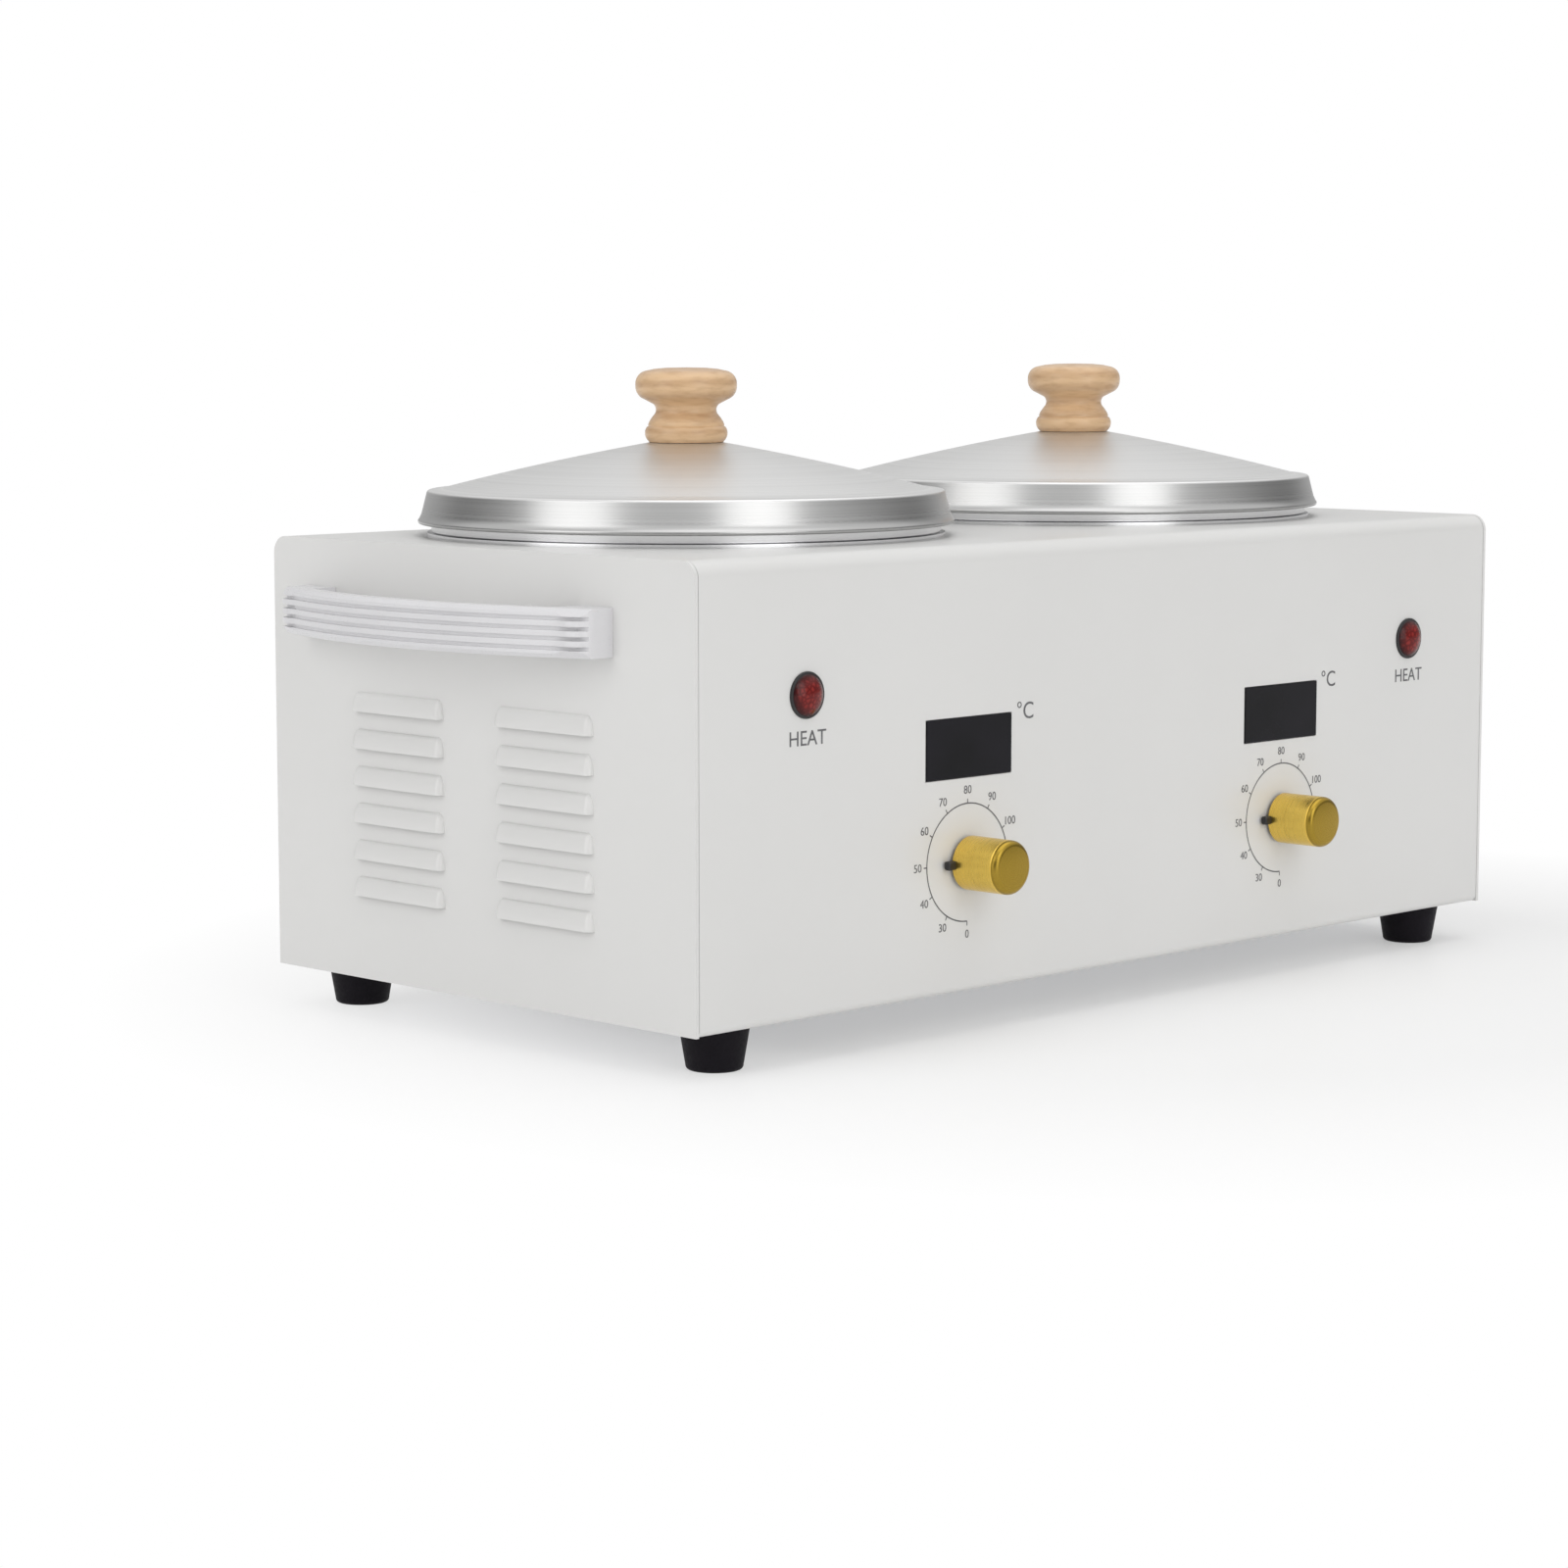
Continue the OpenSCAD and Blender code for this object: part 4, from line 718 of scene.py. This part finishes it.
def cap_outline():
    """Dial cap: skirt over the pointer ring, straight side, fine groove, well rounded end."""
    low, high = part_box("right_dial_cap")
    r = (high.x - low.x) / 2
    length = high.y - low.y
    skirt = 1.7 * MM
    bore_r = RING_R + 0.15 * MM
    bore_end = 0.4 * MM
    bevel_in, bevel_up = 0.25 * MM, 0.3 * MM
    cut, cut_slope = 0.14 * MM, 0.1 * MM
    groove = length - CAP_ROUND - 0.35 * MM
    points = [(0, bore_end), (bore_r, bore_end), (bore_r, -skirt)]
    points += [(r - bevel_in, -skirt), (r, bevel_up - skirt)]
    points += [(r, groove), (r - cut, groove + cut_slope)]
    points += [(r - cut, groove + 2 * cut_slope), (r, groove + 3 * cut_slope)]
    points += arc(r - CAP_ROUND, length - CAP_ROUND, CAP_ROUND, 4, 84, 9)
    return points + [(0, length)]


def pointer(side):
    """Pointer of a dial: ring inside the cap's skirt, with a nub that reaches out to one side."""
    low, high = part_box(side + "_dial_pointer")
    bore = 3.6 * MM
    bevel = 0.2 * MM
    nub_wide, nub_round = 2.6 * MM, 0.7 * MM
    overlap = 0.6 * MM
    x = middle(side + "_dial_cap").x
    z = (low.z + high.z) / 2
    deep = high.y - low.y - 0.05 * MM
    outline = [(bore, 0), (RING_R - bevel, 0), (RING_R, bevel), (RING_R, deep), (bore, deep), (bore, 0)]
    piece = turned(outline, (x, high.y, z), steps=64, sharp=40, turn=FACE_OUT)
    reach = x - RING_R - low.x + overlap
    bpy.ops.object.select_all(action="DESELECT")
    centre = (low.x + reach / 2, (low.y + high.y) / 2, z)
    bpy.ops.mesh.primitive_cube_add(size=1, location=centre)
    nub = bpy.context.object
    nub.scale = (reach, deep, nub_wide)
    settle(nub)
    round_edges(nub, nub_round, segments=4, sharp=40)
    smooth(sharp=40)
    only(piece)
    nub.select_set(True)
    bpy.ops.object.join()
    finish_piece(piece, side + "_pointer", side + "_dial", "black_plastic", side + "_dial_pointer")


def lens_outline():
    """Domed lens with a short straight rim that stands on the bezel, on a narrower stem."""
    low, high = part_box("right_lamp_lens")
    r = 6.0 * MM
    stem_r = 5.2 * MM
    rise = 2.5 * MM
    rim = 0.4 * MM
    rim_slope = 0.05 * MM
    deep = high.y - low.y - 0.8 * MM
    dome = (r * r + rise * rise) / (2 * rise)
    edge = math.degrees(math.asin(r / dome))
    rim_z = deep - rise - rim
    points = [(0, 0), (stem_r, 0), (stem_r, rim_z - rim_slope), (r, rim_z)]
    return points + arc(0, deep - dome, dome, 90 - edge, 90, 12)


def bezel_outline():
    """Lamp barrel and thin bezel, closed round the lens seat."""
    low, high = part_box("right_lamp_body")
    bezel = (high.x - low.x) / 2
    back = FRONT_Y - high.y
    out = 0.75 * MM
    barrel = 5.2 * MM
    seat = 5.36 * MM
    seat_z = out - 0.6 * MM
    edge = 0.4 * MM
    points = [(0, back), (barrel, back), (barrel, 0), (bezel, 0), (bezel, out - edge)]
    points += arc(bezel - edge, out - edge, edge, 15, 90, 4)
    return points + [(seat, out), (seat, seat_z), (0, seat_z)]


for side, _ in SIDES:
    _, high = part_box(side + "_dial_cap")
    dial = middle(side + "_dial_cap")
    cap = turned(cap_outline(), (dial.x, high.y, dial.z), steps=72, sharp=30, turn=FACE_OUT)
    finish_piece(cap, side + "_gold_cap", side + "_dial", "gold_metal", side + "_dial_cap")
    pointer(side)
    _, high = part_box(side + "_lamp_lens")
    lamp = middle(side + "_lamp_lens")
    lens = turned(lens_outline(), (lamp.x, high.y, lamp.z), steps=64, sharp=50, turn=FACE_OUT)
    finish_piece(lens, side + "_lamp_dome", "root", "red_lens", side + "_lamp_lens")
    bezel = turned(bezel_outline(), (lamp.x, FRONT_Y, lamp.z), steps=64, sharp=40, turn=FACE_OUT)
    finish_piece(bezel, side + "_lamp_bezel", "root", "black_plastic", side + "_lamp_body")
    dressed(side + "_display_lens", edge=0.3 * MM, segments=3)

# ---------- printing on the front ----------

INK_T = 0.04 * MM
RING_MIDDLE_R = 17.0 * MM
RING_LINE = 0.4 * MM
RING_STEPS = 96
TICK_MIDDLE_R = RING_MIDDLE_R + 0.7 * MM
TICK_LENGTH, TICK_WIDTH = 1.2 * MM, 0.35 * MM
NUMBER_R = 20.8 * MM
NUMBER_SIZE = 3.4 * MM
# Clockwise from straight up, in degrees.
SCALE_START, SCALE_TURN = 180, 270
SCALE_NUMBERS = (0, 30, 40, 50, 60, 70, 80, 90, 100, 110)
DEGREES_SIZE, DEGREES_OUT, DEGREES_DROP = 7.0 * MM, 6.0 * MM, 0.1 * MM
HEAT_SIZE, HEAT_OUT, HEAT_DROP = 5.9 * MM, 0.4 * MM, 12.0 * MM


def printed(obj, name, x, z):
    """Lays a flat drawing on the front panel, facing out, at (x, z)."""
    only(obj)
    bpy.ops.object.convert(target="MESH")
    obj = bpy.context.object
    obj.rotation_euler = FACE_OUT
    obj.location = (x, FRONT_Y - INK_T, z)
    settle(obj)
    obj.name = name
    obj.data.name = name
    coat(obj, PRINT_INK)
    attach(obj, "root")


def lettering(text, name, x, z, size):
    bpy.ops.object.select_all(action="DESELECT")
    bpy.ops.object.text_add()
    words = bpy.context.object
    words.data.body = text
    words.data.size = size
    words.data.align_x = "CENTER"
    words.data.align_y = "CENTER"
    words.data.resolution_u = 4
    words.data.extrude = INK_T
    printed(words, name, x, z)


def scale_ring(name, x, z):
    """The arc that a dial's scale stands on."""
    ring = single_point((0, RING_MIDDLE_R - RING_LINE / 2, 0))
    bpy.ops.mesh.extrude_region_move(TRANSFORM_OT_translate={"value": (0, RING_LINE, 0)})
    bpy.ops.mesh.select_all(action="SELECT")
    turn = math.radians(SCALE_TURN)
    bpy.ops.mesh.spin(steps=RING_STEPS, angle=turn, center=(0, 0, 0), axis=(0, 0, 1))
    bpy.ops.object.mode_set(mode="OBJECT")
    ring.rotation_euler = (0, 0, -math.radians(SCALE_START))
    settle(ring)
    printed(ring, name, x, z)


def tick(name, x, z, angle):
    """A mark across the ring of the dial at (x, z), at a clockwise angle in degrees."""
    bpy.ops.object.select_all(action="DESELECT")
    bpy.ops.mesh.primitive_plane_add(size=1, location=(0, TICK_MIDDLE_R, 0))
    mark = bpy.context.object
    mark.scale = (TICK_WIDTH, TICK_LENGTH, 1)
    settle(mark)
    mark.rotation_euler = (0, 0, -math.radians(angle))
    settle(mark)
    printed(mark, name, x, z)


for side, _ in SIDES:
    dial = middle(side + "_dial_cap")
    scale_ring(side + "_dial_ring", dial.x, dial.z)
    for i, value in enumerate(SCALE_NUMBERS):
        angle = SCALE_START + SCALE_TURN * i / (len(SCALE_NUMBERS) - 1)
        x = dial.x + NUMBER_R * math.sin(math.radians(angle))
        z = dial.z + NUMBER_R * math.cos(math.radians(angle))
        lettering(str(value), f"{side}_dial_number_{value}", x, z, NUMBER_SIZE)
        tick(f"{side}_dial_tick_{value}", dial.x, dial.z, angle)
    _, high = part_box(side + "_display_lens")
    lettering("°C", side + "_degrees_mark", high.x + DEGREES_OUT, high.z - DEGREES_DROP, DEGREES_SIZE)
    lamp = middle(side + "_lamp_lens")
    lettering("HEAT", side + "_heat_mark", lamp.x + HEAT_OUT, lamp.z - HEAT_DROP, HEAT_SIZE)

# ---------- stage, light and camera ----------

FLOOR_SIZE = 60
FLOOR_GLOW = 0.35
SHADE_MIDDLE = (0.05, -0.05, 0.0)
SHADE_REACH = (0.17, 0.33)
SKY_LEVEL = 0.56
# Metal and glass show a dim wall. It turns white between two heights, given as sines.
WALL_LEVEL = 0.28
WALL_TOP = (0.34, 0.52)
# They also show soft windows in that wall, each with its heading in degrees from +X and its strength.
WINDOWS = ((28, 0.3), (70, 0.3))
WINDOW_RISE = 0.3
WINDOW_EDGE = (0.86, 1.0)
LIGHT_AIM = (0, 0, 0.1)
# Name, place, size across and up, and power of each soft box.
SOFT_BOXES = (
    ("top_box", (0.1, -0.2, 1.5), (1.6, 1.2), 6),
    ("left_box", (-1.65, 0.2, 0.7), (1.0, 1.7), 7.8),
    ("front_box", (-0.42, -1.8, 0.7), (1.0, 1.7), 9.4),
)
CAMERA_PLACE = (-0.892, BODY_Y - 0.833, SHELL_LOW.z + 0.1893)
CAMERA_HEADING, CAMERA_DIP = math.radians(45.09), math.radians(6.68)
CAMERA_LENS = 89.6


def shown_rays(tree):
    """1 for rays that show the background itself: from the camera, or off metal and glass."""
    path = add(tree, "ShaderNodeLightPath")
    shown = math_node(tree, "MAXIMUM", path.outputs["Is Camera Ray"], path.outputs["Is Glossy Ray"])
    return math_node(tree, "MAXIMUM", shown, path.outputs["Is Transmission Ray"])


def floor():
    """A white floor that glows away from the object, and keeps its shadow near it."""
    bpy.ops.object.select_all(action="DESELECT")
    bpy.ops.mesh.primitive_plane_add(size=1)
    ground = bpy.context.object
    ground.scale = (FLOOR_SIZE, FLOOR_SIZE, 1)
    settle(ground)
    ground.name = "floor"
    mat, tree, shader, coords = new_material("floor_white", Roughness=0.45, Specular_IOR_Level=0.25)
    shader.inputs["Base Color"].default_value = tone(0.93, 0.93, 0.93)
    glow = add(tree, "ShaderNodeEmission")
    glow.inputs["Color"].default_value = tone(1, 1, 1)
    from_shade = add(tree, "ShaderNodeVectorMath", operation="DISTANCE")
    from_shade.inputs[1].default_value = SHADE_MIDDLE
    join(tree, coords, from_shade.inputs[0])
    fade = spread(tree, from_shade.outputs["Value"], FLOOR_GLOW, 1.0, SHADE_REACH)
    mix = add(tree, "ShaderNodeMixShader")
    join(tree, math_node(tree, "MULTIPLY", fade, shown_rays(tree)), mix.inputs[0])
    join(tree, shader.outputs[0], mix.inputs[1])
    join(tree, glow.outputs[0], mix.inputs[2])
    join(tree, mix.outputs[0], tree.nodes["Material Output"].inputs["Surface"])
    ground.data.materials.append(mat)


def world_light():
    """An even sky that lights the object, and the wall and windows that metal shows."""
    world = bpy.data.worlds.new("studio")
    bpy.context.scene.world = world
    world.use_nodes = True
    tree = world.node_tree
    tree.nodes.clear()
    out = add(tree, "ShaderNodeOutputWorld")
    soft = add(tree, "ShaderNodeBackground")
    soft.inputs["Color"].default_value = tone(1, 1, 1)
    soft.inputs["Strength"].default_value = SKY_LEVEL
    seen = add(tree, "ShaderNodeBackground")
    seen.inputs["Color"].default_value = tone(1, 1, 1)
    path = add(tree, "ShaderNodeLightPath")
    heading = add(tree, "ShaderNodeTexCoord").outputs["Generated"]
    height = add(tree, "ShaderNodeSeparateXYZ")
    join(tree, heading, height.inputs[0])
    seen_level = spread(tree, height.outputs["Z"], WALL_LEVEL, 1.0, WALL_TOP)
    for degrees, strength in WINDOWS:
        turn = math.radians(degrees)
        facing = add(tree, "ShaderNodeVectorMath", operation="DOT_PRODUCT")
        facing.inputs[1].default_value = (math.cos(turn), math.sin(turn), WINDOW_RISE)
        join(tree, heading, facing.inputs[0])
        window = spread(tree, facing.outputs["Value"], WALL_LEVEL, WALL_LEVEL + strength, WINDOW_EDGE)
        seen_level = math_node(tree, "MAXIMUM", seen_level, window)
    seen_level = math_node(tree, "MAXIMUM", seen_level, path.outputs["Is Camera Ray"])
    join(tree, seen_level, seen.inputs["Strength"])
    mix = add(tree, "ShaderNodeMixShader")
    join(tree, shown_rays(tree), mix.inputs[0])
    join(tree, soft.outputs[0], mix.inputs[1])
    join(tree, seen.outputs[0], mix.inputs[2])
    join(tree, mix.outputs[0], out.inputs["Surface"])


def soft_box(name, place, size, power):
    bpy.ops.object.light_add(type="AREA", location=place)
    lamp = bpy.context.object
    lamp.name = name
    lamp.data.shape = "RECTANGLE"
    lamp.data.size, lamp.data.size_y = size
    lamp.data.energy = power
    lamp.rotation_euler = (Vector(LIGHT_AIM) - Vector(place)).to_track_quat("-Z", "Y").to_euler()


def camera():
    bpy.ops.object.camera_add(location=CAMERA_PLACE)
    eye = bpy.context.object
    level = math.cos(CAMERA_DIP)
    aim = Vector((math.sin(CAMERA_HEADING) * level, math.cos(CAMERA_HEADING) * level, -math.sin(CAMERA_DIP)))
    eye.rotation_euler = aim.to_track_quat("-Z", "Y").to_euler()
    eye.data.lens = CAMERA_LENS
    eye.data.sensor_width = 36
    eye.data.clip_start = 10 * MM
    bpy.context.scene.camera = eye


floor()
world_light()
for name, place, size, power in SOFT_BOXES:
    soft_box(name, place, size, power)
camera()
bpy.context.scene.view_settings.view_transform = "Standard"
